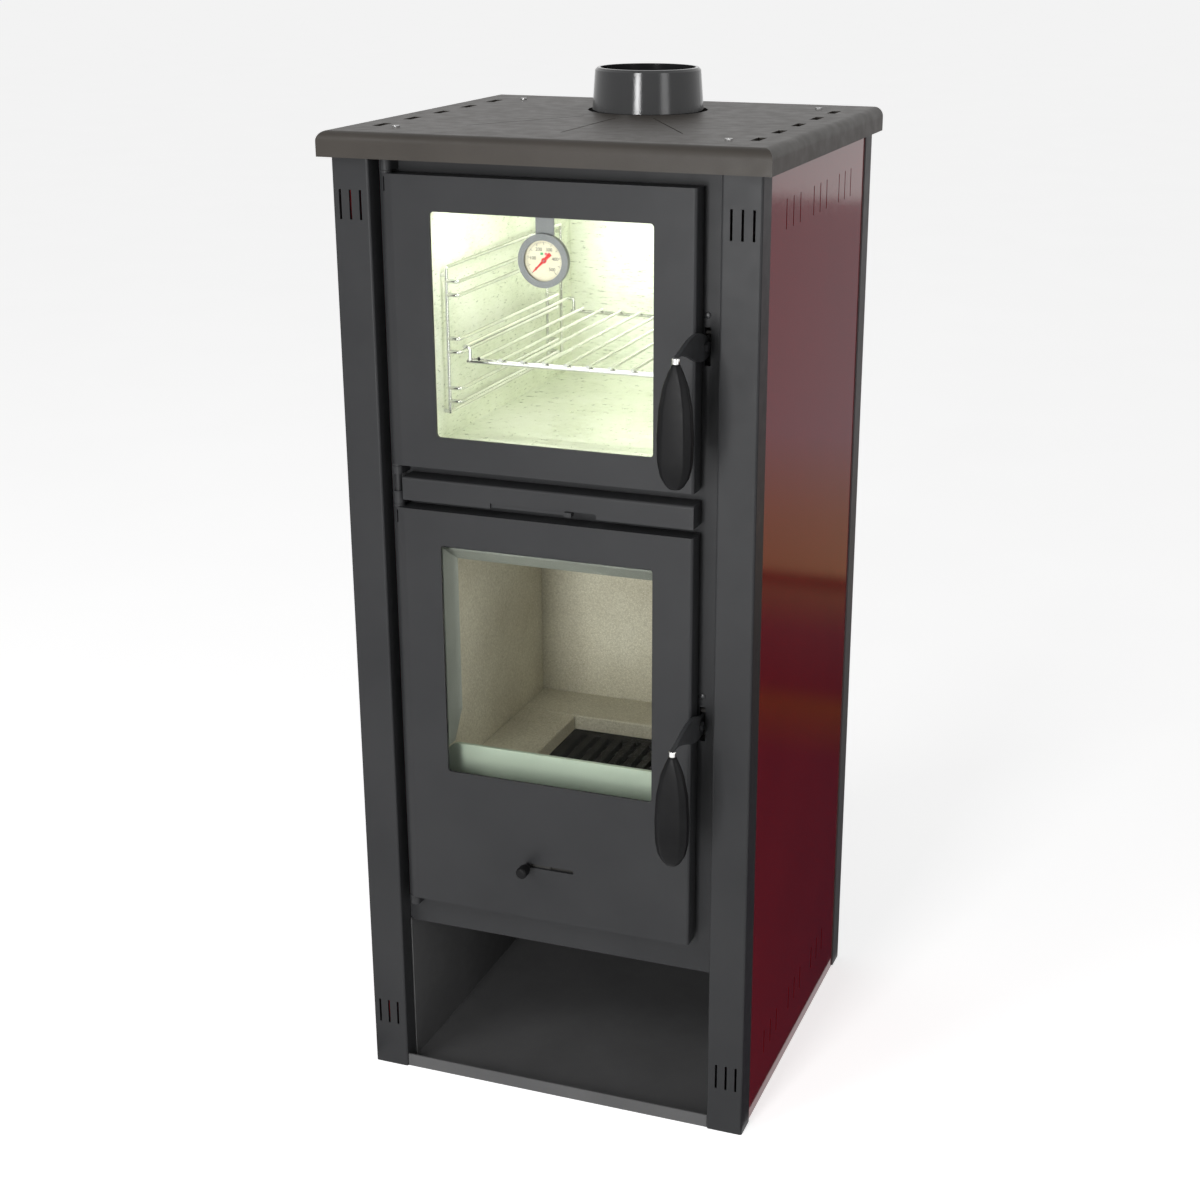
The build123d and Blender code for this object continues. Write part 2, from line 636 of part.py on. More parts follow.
def front_frame():
    """Front plate with the openings of oven, fire and ash drawer, latch slots and hinge lugs."""
    side_x = POST_INNER_X - SEAT_GAP
    frame = block(-side_x, side_x, FRAME_Y, FRAME_BACK_Y, FRAME_BOTTOM_Z, BODY_TOP_Z)
    frame = fillet(frame.edges().filter_by(Axis.Y).group_by(Axis.Z)[0], FRAME_CORNER_RADIUS)
    oven_x = OVEN_HALF_WIDTH + OVEN_SHEET + SEAT_GAP
    cuts = [
        block(-oven_x, oven_x, FRAME_Y - 1, FRAME_BACK_Y + 1, OVEN_FLOOR_Z - OVEN_SHEET - SEAT_GAP,
              OVEN_CEILING_Z + OVEN_SHEET + SEAT_GAP),
        block(-FIRE_OPENING_HALF_WIDTH, FIRE_OPENING_HALF_WIDTH, FRAME_Y - 1, FRAME_BACK_Y + 1,
              HEARTH_Z, FIRE_OPENING_TOP_Z),
        block(-ASH_OPENING_HALF_WIDTH, ASH_OPENING_HALF_WIDTH, FRAME_Y - 1, FRAME_BACK_Y + 1,
              ASH_FLOOR_Z, ASH_FLOOR_Z + SEAT_GAP + DRAWER_HEIGHT + ASH_OPENING_CLEARANCE),
        block(-FRAME_AIR_SLOT_HALF_WIDTH, FRAME_AIR_SLOT_HALF_WIDTH, FRAME_Y - 1, FRAME_BACK_Y + 1,
              *FRAME_AIR_SLOT_Z),
        latch_slot(OVEN_PIVOT_Z),
        latch_slot(FIRE_PIVOT_Z),
    ]
    frame -= cuts
    for z0, z1 in lug_heights():
        frame += hinge_lug(z0, z1)
    return frame


def hinge_pins():
    """Upper, middle and lower hinge pin; the middle one serves both doors."""
    top, middle, low, bottom = lug_heights()
    spans = (
        (OVEN_DOOR_Z[1] - PIN_REACH, top[1] + PIN_END),
        (FIRE_DOOR_Z[1] - PIN_REACH, OVEN_DOOR_Z[0] + PIN_REACH / 2),
        (bottom[0] - PIN_END, FIRE_DOOR_Z[0] + PIN_REACH),
    )
    return Compound([upright(HINGE_X, HINGE_Y, z0, z1, HINGE_PIN_RADIUS) for z0, z1 in spans])


def latch_pocket(pivot_z):
    """Closed box behind a latch slot, with the keeper pin that the latch nose works under."""
    z0 = pivot_z - LATCH_SLOT_BELOW - POCKET_MARGIN
    z1 = pivot_z + LATCH_SLOT_ABOVE + POCKET_MARGIN
    back_y = FRAME_BACK_Y + POCKET_DEPTH
    box = block(*POCKET_X, FRAME_BACK_Y, back_y, z0, z1)
    box -= block(POCKET_X[0] + POCKET_SHEET, POCKET_X[1] - POCKET_SHEET, FRAME_BACK_Y,
                 back_y - POCKET_SHEET, z0 + POCKET_SHEET, z1 - POCKET_SHEET)
    keeper_z = pivot_z + KEEPER_RISE
    return box + rod((POCKET_X[0] + 1, KEEPER_Y, keeper_z), (POCKET_X[1] - 1, KEEPER_Y, keeper_z),
                     KEEPER_RADIUS)


def latch_pockets():
    """Latch pockets of both doors."""
    return Compound([latch_pocket(OVEN_PIVOT_Z), latch_pocket(FIRE_PIVOT_Z)])


# Fire lining

def brick(x0, x1, y0, y1, z0, z1):
    """Firebrick with slightly broken edges."""
    slab = block(x0, x1, y0, y1, z0, z1)
    return chamfer(slab.edges(), BRICK_CHAMFER)


def firebrick_right():
    """Brick along the side of the fire."""
    return brick(FIREBOX_HALF_WIDTH, FIREBOX_HALF_WIDTH + BRICK, FIREBOX_FRONT_Y,
                 FIREBOX_BACK_Y - BRICK_GAP, DECK_Z, LINING_TOP_Z)


def firebrick_back():
    """Brick across the back of the fire."""
    side_x = FIREBOX_HALF_WIDTH + BRICK
    return brick(-side_x, side_x, FIREBOX_BACK_Y, FIREBOX_BACK_Y + BRICK, DECK_Z, LINING_TOP_Z)


def hearth_bricks():
    """Four floor bricks round the grate: left, right, back and front."""
    side_x = FIREBOX_HALF_WIDTH - BRICK_GAP
    front_y = GRATE_FRONT_Y - BRICK_GAP
    left = brick(-side_x, -GRATE_HALF_WIDTH, GRATE_FRONT_Y, GRATE_BACK_Y, DECK_Z, HEARTH_Z)
    back = brick(-side_x, side_x, GRATE_BACK_Y + BRICK_GAP, FIREBOX_BACK_Y - BRICK_GAP, DECK_Z, HEARTH_Z)
    front = brick(-side_x, side_x, FRAME_BACK_Y + SEAT_GAP, front_y, DECK_Z, HEARTH_Z)
    return Compound([left, mirrored(left), back, front])


def baffle_plate():
    """Flame baffle lying on the side and back bricks."""
    side_x = CASING_X - BRICK_GAP
    return block(-side_x, side_x, BAFFLE_FRONT_Y, FIREBOX_BACK_Y + BRICK, LINING_TOP_Z,
                 LINING_TOP_Z + BAFFLE_THICKNESS)


def fire_grate():
    """Cast grate with slots from front to back."""
    side_x = GRATE_HALF_WIDTH - BRICK_GAP
    front_y = GRATE_FRONT_Y + BRICK_GAP
    back_y = GRATE_BACK_Y - BRICK_GAP
    grate = block(-side_x, side_x, front_y, back_y, DECK_Z, DECK_Z + GRATE_THICKNESS)
    slots = [block(x - GRATE_SLOT_WIDTH / 2, x + GRATE_SLOT_WIDTH / 2, front_y + GRATE_SLOT_MARGIN,
                   back_y - GRATE_SLOT_MARGIN, DECK_Z, DECK_Z + GRATE_THICKNESS)
             for x in spread(GRATE_SLOT_COUNT, GRATE_BAR_PITCH)]
    return grate - slots


def log_guard():
    """Plate that keeps logs behind the fire opening."""
    guard = block(-GUARD_HALF_WIDTH, GUARD_HALF_WIDTH, GUARD_BACK_Y - GUARD_THICKNESS, GUARD_BACK_Y,
                  HEARTH_Z, HEARTH_Z + GUARD_HEIGHT)
    return fillet(guard.edges().filter_by(Axis.Y).group_by(Axis.Z)[-1], GUARD_CORNER_RADIUS)


def throat_outline(y, half_width, top_z, flare_width):
    """Outline of the throat at one depth, flared below."""
    knee_z = THROAT_BOTTOM_Z + THROAT_FLARE_HEIGHT
    right = [(flare_width, THROAT_BOTTOM_Z - 1), (half_width, knee_z), (half_width, top_z)]
    left = [(-x, z) for x, z in reversed(right)]
    outline = Polyline(*right, *left, close=True)
    return Plane(origin=(0, y, 0), x_dir=(1, 0, 0), z_dir=(0, -1, 0)) * make_face(outline)


def fire_throat():
    """Cast lining of the fire opening: bevelled inside, flanged behind the frame."""
    side_x = FIRE_OPENING_HALF_WIDTH - SEAT_GAP
    top_z = FIRE_OPENING_TOP_Z - SEAT_GAP
    back_y = FRAME_Y + THROAT_DEPTH
    body = block(-side_x, side_x, FRAME_Y, back_y, THROAT_BOTTOM_Z, top_z)
    body += block(-side_x - THROAT_FLANGE, side_x + THROAT_FLANGE, FRAME_BACK_Y,
                  FRAME_BACK_Y + THROAT_FLANGE_SHEET, THROAT_BOTTOM_Z, top_z + THROAT_FLANGE)
    wide = throat_outline(FRAME_Y, side_x - THROAT_LAND, top_z - THROAT_LAND, side_x - THROAT_LAND)
    narrow = throat_outline(back_y, THROAT_HALF_WIDTH, THROAT_TOP_Z, side_x - THROAT_LAND)
    return body - loft([wide, narrow], ruled=True)


def ash_drawer():
    """Drawer welded from sheets: floor, two sides, front and back, with a pull along its front."""
    z0 = ASH_FLOOR_Z + SEAT_GAP
    z1 = z0 + DRAWER_HEIGHT
    back_y = DRAWER_FRONT_Y + DRAWER_LENGTH
    inner_x = DRAWER_HALF_WIDTH - DRAWER_SHEET
    pull_x = DRAWER_PULL_WIDTH / 2
    side = block(inner_x, DRAWER_HALF_WIDTH, DRAWER_FRONT_Y, back_y, z0, z1)
    return Compound([
        side,
        mirrored(side),
        block(-inner_x, inner_x, DRAWER_FRONT_Y, back_y, z0, z0 + DRAWER_SHEET),
        block(-inner_x, inner_x, DRAWER_FRONT_Y, DRAWER_FRONT_Y + DRAWER_SHEET, z0 + DRAWER_SHEET, z1),
        block(-inner_x, inner_x, back_y - DRAWER_SHEET, back_y, z0 + DRAWER_SHEET, z1),
        block(-pull_x, pull_x, DRAWER_FRONT_Y - DRAWER_PULL_DEPTH, DRAWER_FRONT_Y, z1 - DRAWER_SHEET, z1),
    ])


# Oven

def oven_box():
    """Stainless oven liner, open at the front."""
    side_x = OVEN_HALF_WIDTH + OVEN_SHEET
    box = block(-side_x, side_x, FRAME_Y, OVEN_BACK_Y + OVEN_SHEET, OVEN_FLOOR_Z - OVEN_SHEET,
                OVEN_CEILING_Z + OVEN_SHEET)
    return box - block(-OVEN_HALF_WIDTH, OVEN_HALF_WIDTH, FRAME_Y, OVEN_BACK_Y, OVEN_FLOOR_Z,
                       OVEN_CEILING_Z)


def cut_corners(points, corner):
    """The path again, with a short slanted run in place of each corner."""
    path = [Vector(*points[0])]
    for before, at, after in zip(points, points[1:], points[2:]):
        middle = Vector(*at)
        path += [middle + (Vector(*before) - middle).normalized() * corner,
                 middle + (Vector(*after) - middle).normalized() * corner]
    return path + [Vector(*points[-1])]


def bent_wire(points, corner):
    """Wire along a path with bent corners."""
    path = Polyline(*cut_corners(points, corner))
    section = Plane(origin=path @ 0, z_dir=path % 0) * RegularPolygon(WIRE_RADIUS, WIRE_SIDES)
    return sweep(section, path=path, transition=Transition.RIGHT)


def wire(start, end):
    """Straight wire."""
    return bar(start, end, WIRE_RADIUS, WIRE_SIDES)


def rail_heights():
    """Height of every rail wire, two to a level."""
    return [level + lift for level in RAIL_LEVELS for lift in (0, RAIL_PAIR_GAP)]


def right_rack():
    """Wire guide on the oven wall: frame, middle wire, rails in pairs and four wall feet."""
    frame_points = [
        (RACK_FRAME_X, RACK_FRONT_Y, RACK_BOTTOM_Z),
        (RACK_FRAME_X, RACK_FRONT_Y, RACK_TOP_Z),
        (RACK_FRAME_X, RACK_BACK_Y, RACK_TOP_Z),
        (RACK_FRAME_X, RACK_BACK_Y, RACK_BOTTOM_Z),
    ]
    rack = bent_wire(frame_points, WIRE_CORNER)
    low_z = RACK_BOTTOM_Z + WIRE_RADIUS
    rack += wire((RACK_FRAME_X, RACK_FRONT_Y, low_z), (RACK_FRAME_X, RACK_BACK_Y, low_z))
    rack += wire((RACK_FRAME_X, RACK_MIDDLE_Y, low_z), (RACK_FRAME_X, RACK_MIDDLE_Y, RACK_TOP_Z))
    for z in rail_heights():
        rail_points = [
            (RACK_FRAME_X, RACK_FRONT_Y, z),
            (RACK_RAIL_X, RACK_FRONT_Y, z),
            (RACK_RAIL_X, RACK_MIDDLE_Y, z),
            (RACK_FRAME_X, RACK_MIDDLE_Y, z),
        ]
        rack += bent_wire(rail_points, WIRE_CORNER)
    foot_x = OVEN_HALF_WIDTH - SEAT_GAP
    for y in (RACK_FRONT_Y, RACK_BACK_Y):
        for z in (low_z, RACK_TOP_Z - 2 * WIRE_CORNER):
            rack += wire((RACK_FRAME_X, y, z), (foot_x, y, z))
    return rack


def oven_shelf():
    """Wire shelf: grid hanging from two runners that lie on one pair of rails."""
    runner_z = RAIL_LEVELS[SHELF_LEVEL] + 2 * WIRE_RADIUS + SEAT_GAP
    grid_z = runner_z - SHELF_DROP
    cross_ys = (SHELF_FRONT_Y, SHELF_FRONT_Y + SHELF_DOUBLE_PITCH, SHELF_BACK_Y)
    shelf = None
    for side in (-1, 1):
        runner_points = [
            (side * SHELF_SIDE_X, SHELF_FRONT_Y, grid_z),
            (side * SHELF_SIDE_X, SHELF_FRONT_Y, runner_z),
            (side * RACK_RAIL_X, SHELF_FRONT_Y, runner_z),
            (side * RACK_RAIL_X, SHELF_BACK_Y, runner_z),
            (side * SHELF_SIDE_X, SHELF_BACK_Y, runner_z),
            (side * SHELF_SIDE_X, SHELF_BACK_Y, grid_z),
        ]
        runner = bent_wire(runner_points, SHELF_CORNER)
        shelf = runner if shelf is None else shelf + runner
    end_x = SHELF_SIDE_X + SHELF_WIRE_OVERLAP
    for y in cross_ys:
        shelf += wire((-end_x, y, grid_z), (end_x, y, grid_z))
    wire_z = grid_z + 2 * WIRE_RADIUS - WIRE_WELD
    for x in spread(SHELF_WIRE_COUNT, SHELF_WIRE_PITCH):
        shelf += wire((x, SHELF_FRONT_Y - SHELF_LONG_OVERLAP, wire_z),
                      (x, SHELF_BACK_Y + SHELF_LONG_OVERLAP, wire_z))
    return shelf


# Doors

def pan_outline(inset, back_y):
    """Plan of a door: flat front, small bend at the right, rolled hinge edge at the left."""
    left_x = DOOR_ROLL_X - DOOR_ROLL_RADIUS + inset
    right_x = DOOR_RIGHT_X - inset
    front_y = DOOR_FRONT_Y + inset
    roll_y = DOOR_FRONT_Y + DOOR_ROLL_RADIUS
    bend = DOOR_EDGE_RADIUS - inset
    diagonal = (DOOR_ROLL_RADIUS - inset) / math.sqrt(2)
    return outline_face(
        Line((left_x, back_y), (left_x, roll_y)),
        ThreePointArc((left_x, roll_y), (DOOR_ROLL_X - diagonal, roll_y - diagonal),
                      (DOOR_ROLL_X, front_y)),
        Line((DOOR_ROLL_X, front_y), (right_x - bend, front_y)),
        RadiusArc((right_x - bend, front_y), (right_x, front_y + bend), -bend),
        Line((right_x, front_y + bend), (right_x, back_y)),
        Line((right_x, back_y), (left_x, back_y)),
    )


def door(span, window, seal, pin_spans, pivot_z):
    """Folded door pan with its window, seal channel, hinge bosses and pivot hole."""
    z0, z1 = span
    pan = extrude(Plane.XY.offset(z0) * pan_outline(0, DOOR_BACK_Y), amount=z1 - z0)
    pan -= extrude(Plane.XY.offset(z0 + DOOR_SHEET) * pan_outline(DOOR_SHEET, DOOR_BACK_Y + 1),
                   amount=z1 - z0 - 2 * DOOR_SHEET)
    for low, high in ((z0 - DOOR_BOSS, z0), (z1, z1 + DOOR_BOSS)):
        pan += upright(HINGE_X, HINGE_Y, low, high, HINGE_RING_RADIUS)
    for low, high in pin_spans:
        pan -= upright(HINGE_X, HINGE_Y, low, high, HINGE_PIN_RADIUS + HINGE_PLAY)
    opening = block(-WINDOW_HALF_WIDTH, WINDOW_HALF_WIDTH, DOOR_FRONT_Y - 1, DOOR_INNER_Y + 1, *window)
    pan -= fillet(opening.edges().filter_by(Axis.Y), WINDOW_RADIUS)
    pan += seal_channel(seal)
    pan -= rod((DOOR_RIGHT_X - DOOR_SHEET, PIVOT_Y, pivot_z), (DOOR_RIGHT_X + 1, PIVOT_Y, pivot_z),
               PIVOT_RADIUS + PIVOT_PLAY)
    return pan


def seal_floor_y():
    """Face of the seal channel that the seal lies on."""
    return FRAME_Y - SEAT_GAP - SEAL_SIZE


def seal_channel(seal):
    """Welded ring behind the window, grooved for the rope seal."""
    floor_y = seal_floor_y()
    width = SEAL_SIZE + 2 * SEAL_PLAY + 2 * CHANNEL_SHEET
    channel = ring(SEAL_HALF_WIDTH, *seal, CHANNEL_SHEET, DOOR_INNER_Y, floor_y)
    outer = SEAL_HALF_WIDTH + width - CHANNEL_SHEET
    channel += ring(outer, seal[0] - width + CHANNEL_SHEET, seal[1] + width - CHANNEL_SHEET,
                    CHANNEL_SHEET, DOOR_INNER_Y, floor_y + CHANNEL_LIP)
    channel += ring(SEAL_HALF_WIDTH, *seal, width, floor_y - CHANNEL_SHEET, floor_y)
    channel += ring(SEAL_HALF_WIDTH, *seal, CHANNEL_SHEET, floor_y, floor_y + CHANNEL_LIP)
    return channel


def door_seal(seal):
    """Rope seal lying in its channel."""
    inside = CHANNEL_SHEET + SEAL_PLAY
    floor_y = seal_floor_y()
    rope = ring(SEAL_HALF_WIDTH + inside, seal[0] - inside, seal[1] + inside, SEAL_SIZE, floor_y,
                floor_y + SEAL_SIZE)
    crown = rope.faces().sort_by(Axis.Y)[-1]
    return chamfer(crown.edges(), SEAL_SIZE / 4)


def door_glass(window):
    """Ceramic glass pane against the inside of the door."""
    side_x = WINDOW_HALF_WIDTH + GLASS_LAP
    pane = block(-side_x, side_x, DOOR_INNER_Y, GLASS_BACK_Y, window[0] - GLASS_LAP,
                 window[1] + GLASS_LAP)
    return fillet(pane.edges().filter_by(Axis.Y), WINDOW_RADIUS)


def glass_clips(levels):
    """Bent clips that hold the pane, at both sides."""
    foot_x0 = WINDOW_HALF_WIDTH + GLASS_LAP + GLASS_PLAY
    clips = []
    for z in levels:
        z0 = z - CLIP_WIDTH / 2
        z1 = z + CLIP_WIDTH / 2
        clip = block(foot_x0, SEAL_HALF_WIDTH, DOOR_INNER_Y, GLASS_BACK_Y + CLIP_SHEET, z0, z1)
        clip += block(foot_x0 - CLIP_FINGER, foot_x0, GLASS_BACK_Y, GLASS_BACK_Y + CLIP_SHEET, z0, z1)
        clips += [clip, mirrored(clip)]
    return Compound(clips)


def oven_door():
    """Upper door."""
    z0, z1 = OVEN_DOOR_Z
    pins = ((z0 - DOOR_BOSS, z0 + PIN_REACH / 2 + PIN_END), (z1 - PIN_REACH - PIN_END, z1 + DOOR_BOSS))
    pan = door(OVEN_DOOR_Z, OVEN_WINDOW_Z, OVEN_SEAL_Z, pins, OVEN_PIVOT_Z)
    return pan - hinge_slit(z1)


def fire_door():
    """Lower door with the slot of the primary air control."""
    z0, z1 = FIRE_DOOR_Z
    pins = ((z0 - DOOR_BOSS, z0 + PIN_REACH + PIN_END), (z1 - PIN_REACH - PIN_END, z1 + DOOR_BOSS))
    pan = door(FIRE_DOOR_Z, FIRE_WINDOW_Z, FIRE_SEAL_Z, pins, FIRE_PIVOT_Z)
    slot_length = PRIMARY_TRAVEL + 3 * PRIMARY_STEM_RADIUS + 1
    middle_x = PRIMARY_X + PRIMARY_TRAVEL / 2
    slot = Plane(origin=(middle_x, DOOR_INNER_Y + 1, PRIMARY_Z), x_dir=(1, 0, 0), z_dir=(0, -1, 0))
    pan -= extrude(slot * SlotOverall(slot_length, PRIMARY_SLOT_HEIGHT), amount=DOOR_SHEET + 2)
    return pan - hinge_slit(z1)


def hinge_slit(top_z):
    """Narrow relief in the rolled edge in front of a pin."""
    return block(HINGE_X - SLIT_OF_HINGE / 2, HINGE_X + SLIT_OF_HINGE / 2, DOOR_FRONT_Y, HINGE_Y,
                 top_z - PIN_REACH, top_z - DOOR_SHEET)


# Handles

def handle_pivot(pivot_z):
    """Shoulder bolt in the side of a door that a handle turns on."""
    start_x = DOOR_RIGHT_X - DOOR_SHEET - PIVOT_END
    head_x = ARM_X[1] + PIVOT_GAP
    bolt = rod((start_x, PIVOT_Y, pivot_z), (head_x, PIVOT_Y, pivot_z), PIVOT_RADIUS)
    bolt += rod((DOOR_RIGHT_X, PIVOT_Y, pivot_z), (ARM_X[0] - PIVOT_GAP, PIVOT_Y, pivot_z),
                PIVOT_SHOULDER_RADIUS)
    return bolt + bar((head_x, PIVOT_Y, pivot_z), (head_x + PIVOT_HEAD_HEIGHT, PIVOT_Y, pivot_z),
                      PIVOT_SHOULDER_RADIUS, PIVOT_HEAD_SIDES)


def handle_arm(pivot_z):
    """Flat arm from the latch nose, past the pivot, out to the ferrule."""
    tip_y = FERRULE_Y - FERRULE_RADIUS
    back_y = FERRULE_Y + FERRULE_RADIUS
    foot_z = pivot_z + FERRULE_RISE + FERRULE_HEIGHT
    nose_top = pivot_z + KEEPER_RISE - KEEPER_RADIUS - 0.5
    upper = Spline((tip_y, foot_z + 0.8), (-272.2, pivot_z + 8.8), (-252.2, pivot_z + 14.1),
                   (-231.8, pivot_z + 17.0), (-202.0, pivot_z + 12.0))
    lower = Spline((-202.0, pivot_z - 12.5), (-224.0, pivot_z - 9.0), (-250.0, pivot_z + 0.5),
                   (back_y, foot_z))
    outline = outline_face(
        upper,
        Polyline((-202.0, pivot_z + 12.0), (-188.5, nose_top), (-178.0, nose_top),
                 (-178.0, pivot_z - 5.0), (-184.0, pivot_z - 11.0), (-202.0, pivot_z - 12.5)),
        lower,
        Polyline((back_y, foot_z), (tip_y, foot_z), (tip_y, foot_z + 0.8)),
    )
    arm = extrude(Plane.YZ.offset(ARM_X[0]) * outline, amount=ARM_X[1] - ARM_X[0])
    return arm - rod((ARM_X[0], PIVOT_Y, pivot_z), (ARM_X[1], PIVOT_Y, pivot_z),
                     PIVOT_RADIUS + PIVOT_PLAY)


def handle_ferrule(pivot_z):
    """Bright ring between arm and grip."""
    low_z = pivot_z + FERRULE_RISE
    return upright(GRIP_X, FERRULE_Y, low_z, low_z + FERRULE_HEIGHT, FERRULE_RADIUS)


def grip_section(share, half_width, front, back, top_z):
    """Corners of one bevelled cross-section of the grip."""
    front_side_y = -front * (1 - GRIP_BEVEL_SHARE)
    back_side_y = back * (1 - GRIP_BEVEL_SHARE)
    front_x = half_width - front * GRIP_BEVEL_SHARE * GRIP_BEVEL_SLOPE
    back_x = half_width - back * GRIP_BEVEL_SHARE * GRIP_BEVEL_SLOPE
    right = [(front_x, -front), (half_width, front_side_y), (half_width, back_side_y), (back_x, back)]
    left = [(-x, y) for x, y in reversed(right)]
    z = top_z - share * GRIP_LENGTH
    return [(GRIP_X + x, FERRULE_Y + y, z) for x, y in right + left]


def handle_grip(pivot_z):
    """Dark bevelled grip hanging from the ferrule."""
    top_z = pivot_z + FERRULE_RISE
    sections = [grip_section(*row, top_z) for row in GRIP_SECTIONS]
    faces = [flat_face(sections[0]), flat_face(sections[-1])]
    for upper, lower in zip(sections, sections[1:]):
        count = len(upper)
        for i in range(count):
            after = (i + 1) % count
            faces.append(flat_face([upper[i], upper[after], lower[after], lower[i]]))
    return Solid(Shell(faces))


# Air controls

def air_cover():
    """Cover strip between the doors, notched for the secondary air."""
    cover = block(*COVER_X, DOOR_FRONT_Y, FRAME_Y, *COVER_Z)
    cover = fillet(cover.edges().filter_by(Axis.X).group_by(Axis.Z)[-1].sort_by(Axis.Y)[0],
                   COVER_EDGE_RADIUS)
    cover -= block(COVER_X[0] + COVER_SHEET, COVER_X[1] - COVER_SHEET, COVER_INNER_Y, FRAME_Y,
                   COVER_Z[0], COVER_Z[1] - COVER_SHEET)
    return cover - block(*COVER_NOTCH_X, DOOR_FRONT_Y - 1, COVER_INNER_Y, COVER_Z[0],
                         COVER_Z[0] + COVER_NOTCH_HEIGHT)


def secondary_air_slider():
    """Slider behind the cover strip with a tab for the finger."""
    front_y = COVER_INNER_Y + SLIDER_GAP
    left_x = COVER_NOTCH_X[0] - SECONDARY_TRAVEL - 2
    slider = block(left_x, SECONDARY_TAB_X[1], front_y, front_y + SLIDER_SHEET, COVER_Z[0] + 0.5,
                   COVER_Z[1] - COVER_SHEET - SEAT_GAP)
    return slider + block(*SECONDARY_TAB_X, DOOR_FRONT_Y - SECONDARY_TAB_REACH, front_y,
                          COVER_Z[0] + 0.5, COVER_Z[0] + SECONDARY_TAB_HEIGHT)


def slider_ports(y0, y1, shift):
    """Two air ports in the primary air slider or in the plate behind it."""
    middle_x = PRIMARY_X + shift
    return [block(middle_x + x - PRIMARY_PORT_LENGTH / 2, middle_x + x + PRIMARY_PORT_LENGTH / 2, y0, y1,
                  PRIMARY_Z - PRIMARY_PORT_HEIGHT / 2, PRIMARY_Z + PRIMARY_PORT_HEIGHT / 2)
            for x in spread(2, PRIMARY_PORT_PITCH)]


def primary_air_slider():
    """Slider behind the fire door's slot, with its ports and the stem of the knob."""
    y0 = DOOR_INNER_Y + SLIDER_GAP
    y1 = y0 + SLIDER_SHEET
    slider = block(PRIMARY_X - PRIMARY_SLIDER_LENGTH / 2, PRIMARY_X + PRIMARY_SLIDER_LENGTH / 2, y0, y1,
                   PRIMARY_Z - PRIMARY_SLIDER_HEIGHT / 2, PRIMARY_Z + PRIMARY_SLIDER_HEIGHT / 2)
    slider -= slider_ports(y0, y1, 0)
    return slider + rod((PRIMARY_X, y0, PRIMARY_Z), (PRIMARY_X, DOOR_FRONT_Y - KNOB_GAP, PRIMARY_Z),
                        PRIMARY_STEM_RADIUS)


def primary_air_knob():
    """Turned knob on the stem: neck, widening shoulder and bevelled end."""
    start = DOOR_FRONT_Y - KNOB_GAP
    end = start - KNOB_LENGTH
    half = [
        (0, start),
        (KNOB_NECK_RADIUS, start),
        (KNOB_NECK_RADIUS, start - KNOB_NECK_LENGTH),
        (KNOB_RADIUS, start - KNOB_NECK_LENGTH - KNOB_SHOULDER_LENGTH),
        (KNOB_RADIUS, end + KNOB_BEVEL),
        (KNOB_RADIUS - KNOB_BEVEL, end),
        (0, end),
    ]
    return Pos(PRIMARY_X, 0, PRIMARY_Z) * revolve(make_face(Polyline(*half, close=True)), Axis.Y)


def fire_door_deflector():
    """Inner plate of the fire door below the window, with the slider's guides and ports."""
    y0 = DOOR_INNER_Y + SLIDER_SHEET + 2 * SLIDER_GAP
    guide_low = PRIMARY_Z - PRIMARY_SLIDER_HEIGHT / 2 - SLIDER_GAP
    guide_high = PRIMARY_Z + PRIMARY_SLIDER_HEIGHT / 2 + SLIDER_GAP
    plate = block(-DEFLECTOR_HALF_WIDTH, DEFLECTOR_HALF_WIDTH, y0, y0 + DEFLECTOR_SHEET,
                  guide_low - GUIDE_HEIGHT, guide_high + GUIDE_HEIGHT)
    for z0 in (guide_low - GUIDE_HEIGHT, guide_high):
        plate += block(-DEFLECTOR_HALF_WIDTH, DEFLECTOR_HALF_WIDTH, DOOR_INNER_Y, y0, z0,
                       z0 + GUIDE_HEIGHT)
    return plate - slider_ports(y0, y0 + DEFLECTOR_SHEET, PRIMARY_TRAVEL)


# Oven thermometer

def dial_disc(radius, y0, y1):
    """Disc across the thermometer's axis."""
    return rod((0, y0, DIAL_Z), (0, y1, DIAL_Z), radius)


def dial_plate_y():
    """Back face of the printed dial."""
    return DIAL_BACK_Y - 2 * DIAL_CASE_SHEET


def thermometer_case():
    """Case with its bezel, seat of the dial, needle post and hanging strap."""
    inner = DIAL_CASE_RADIUS - DIAL_CASE_SHEET
    case = dial_disc(DIAL_CASE_RADIUS, DIAL_FRONT_Y, DIAL_BACK_Y)
    case -= dial_disc(DIAL_FACE_RADIUS, DIAL_FRONT_Y, DIAL_BACK_Y - DIAL_CASE_SHEET)
    case -= dial_disc(inner, DIAL_FRONT_Y + DIAL_CASE_SHEET, dial_plate_y())
    needle_y = dial_plate_y() - DIAL_SHEET - SEAT_GAP - NEEDLE_SHEET
    case += dial_disc(NEEDLE_POST_RADIUS, needle_y - 0.1, DIAL_BACK_Y - DIAL_CASE_SHEET)
    strap_x = DIAL_STRAP_WIDTH / 2
    return case + block(-strap_x, strap_x, DIAL_BACK_Y, DIAL_BACK_Y + DIAL_STRAP_SHEET,
                        DIAL_Z - DIAL_STRAP_BELOW, OVEN_SEAL_Z[1])


def thermometer_dial():
    """Printed dial plate."""
    y1 = dial_plate_y()
    plate = dial_disc(DIAL_CASE_RADIUS - DIAL_CASE_SHEET - SLIDER_GAP, y1 - DIAL_SHEET, y1)
    return plate - dial_disc(NEEDLE_POST_RADIUS + SLIDER_GAP, y1 - DIAL_SHEET, y1)


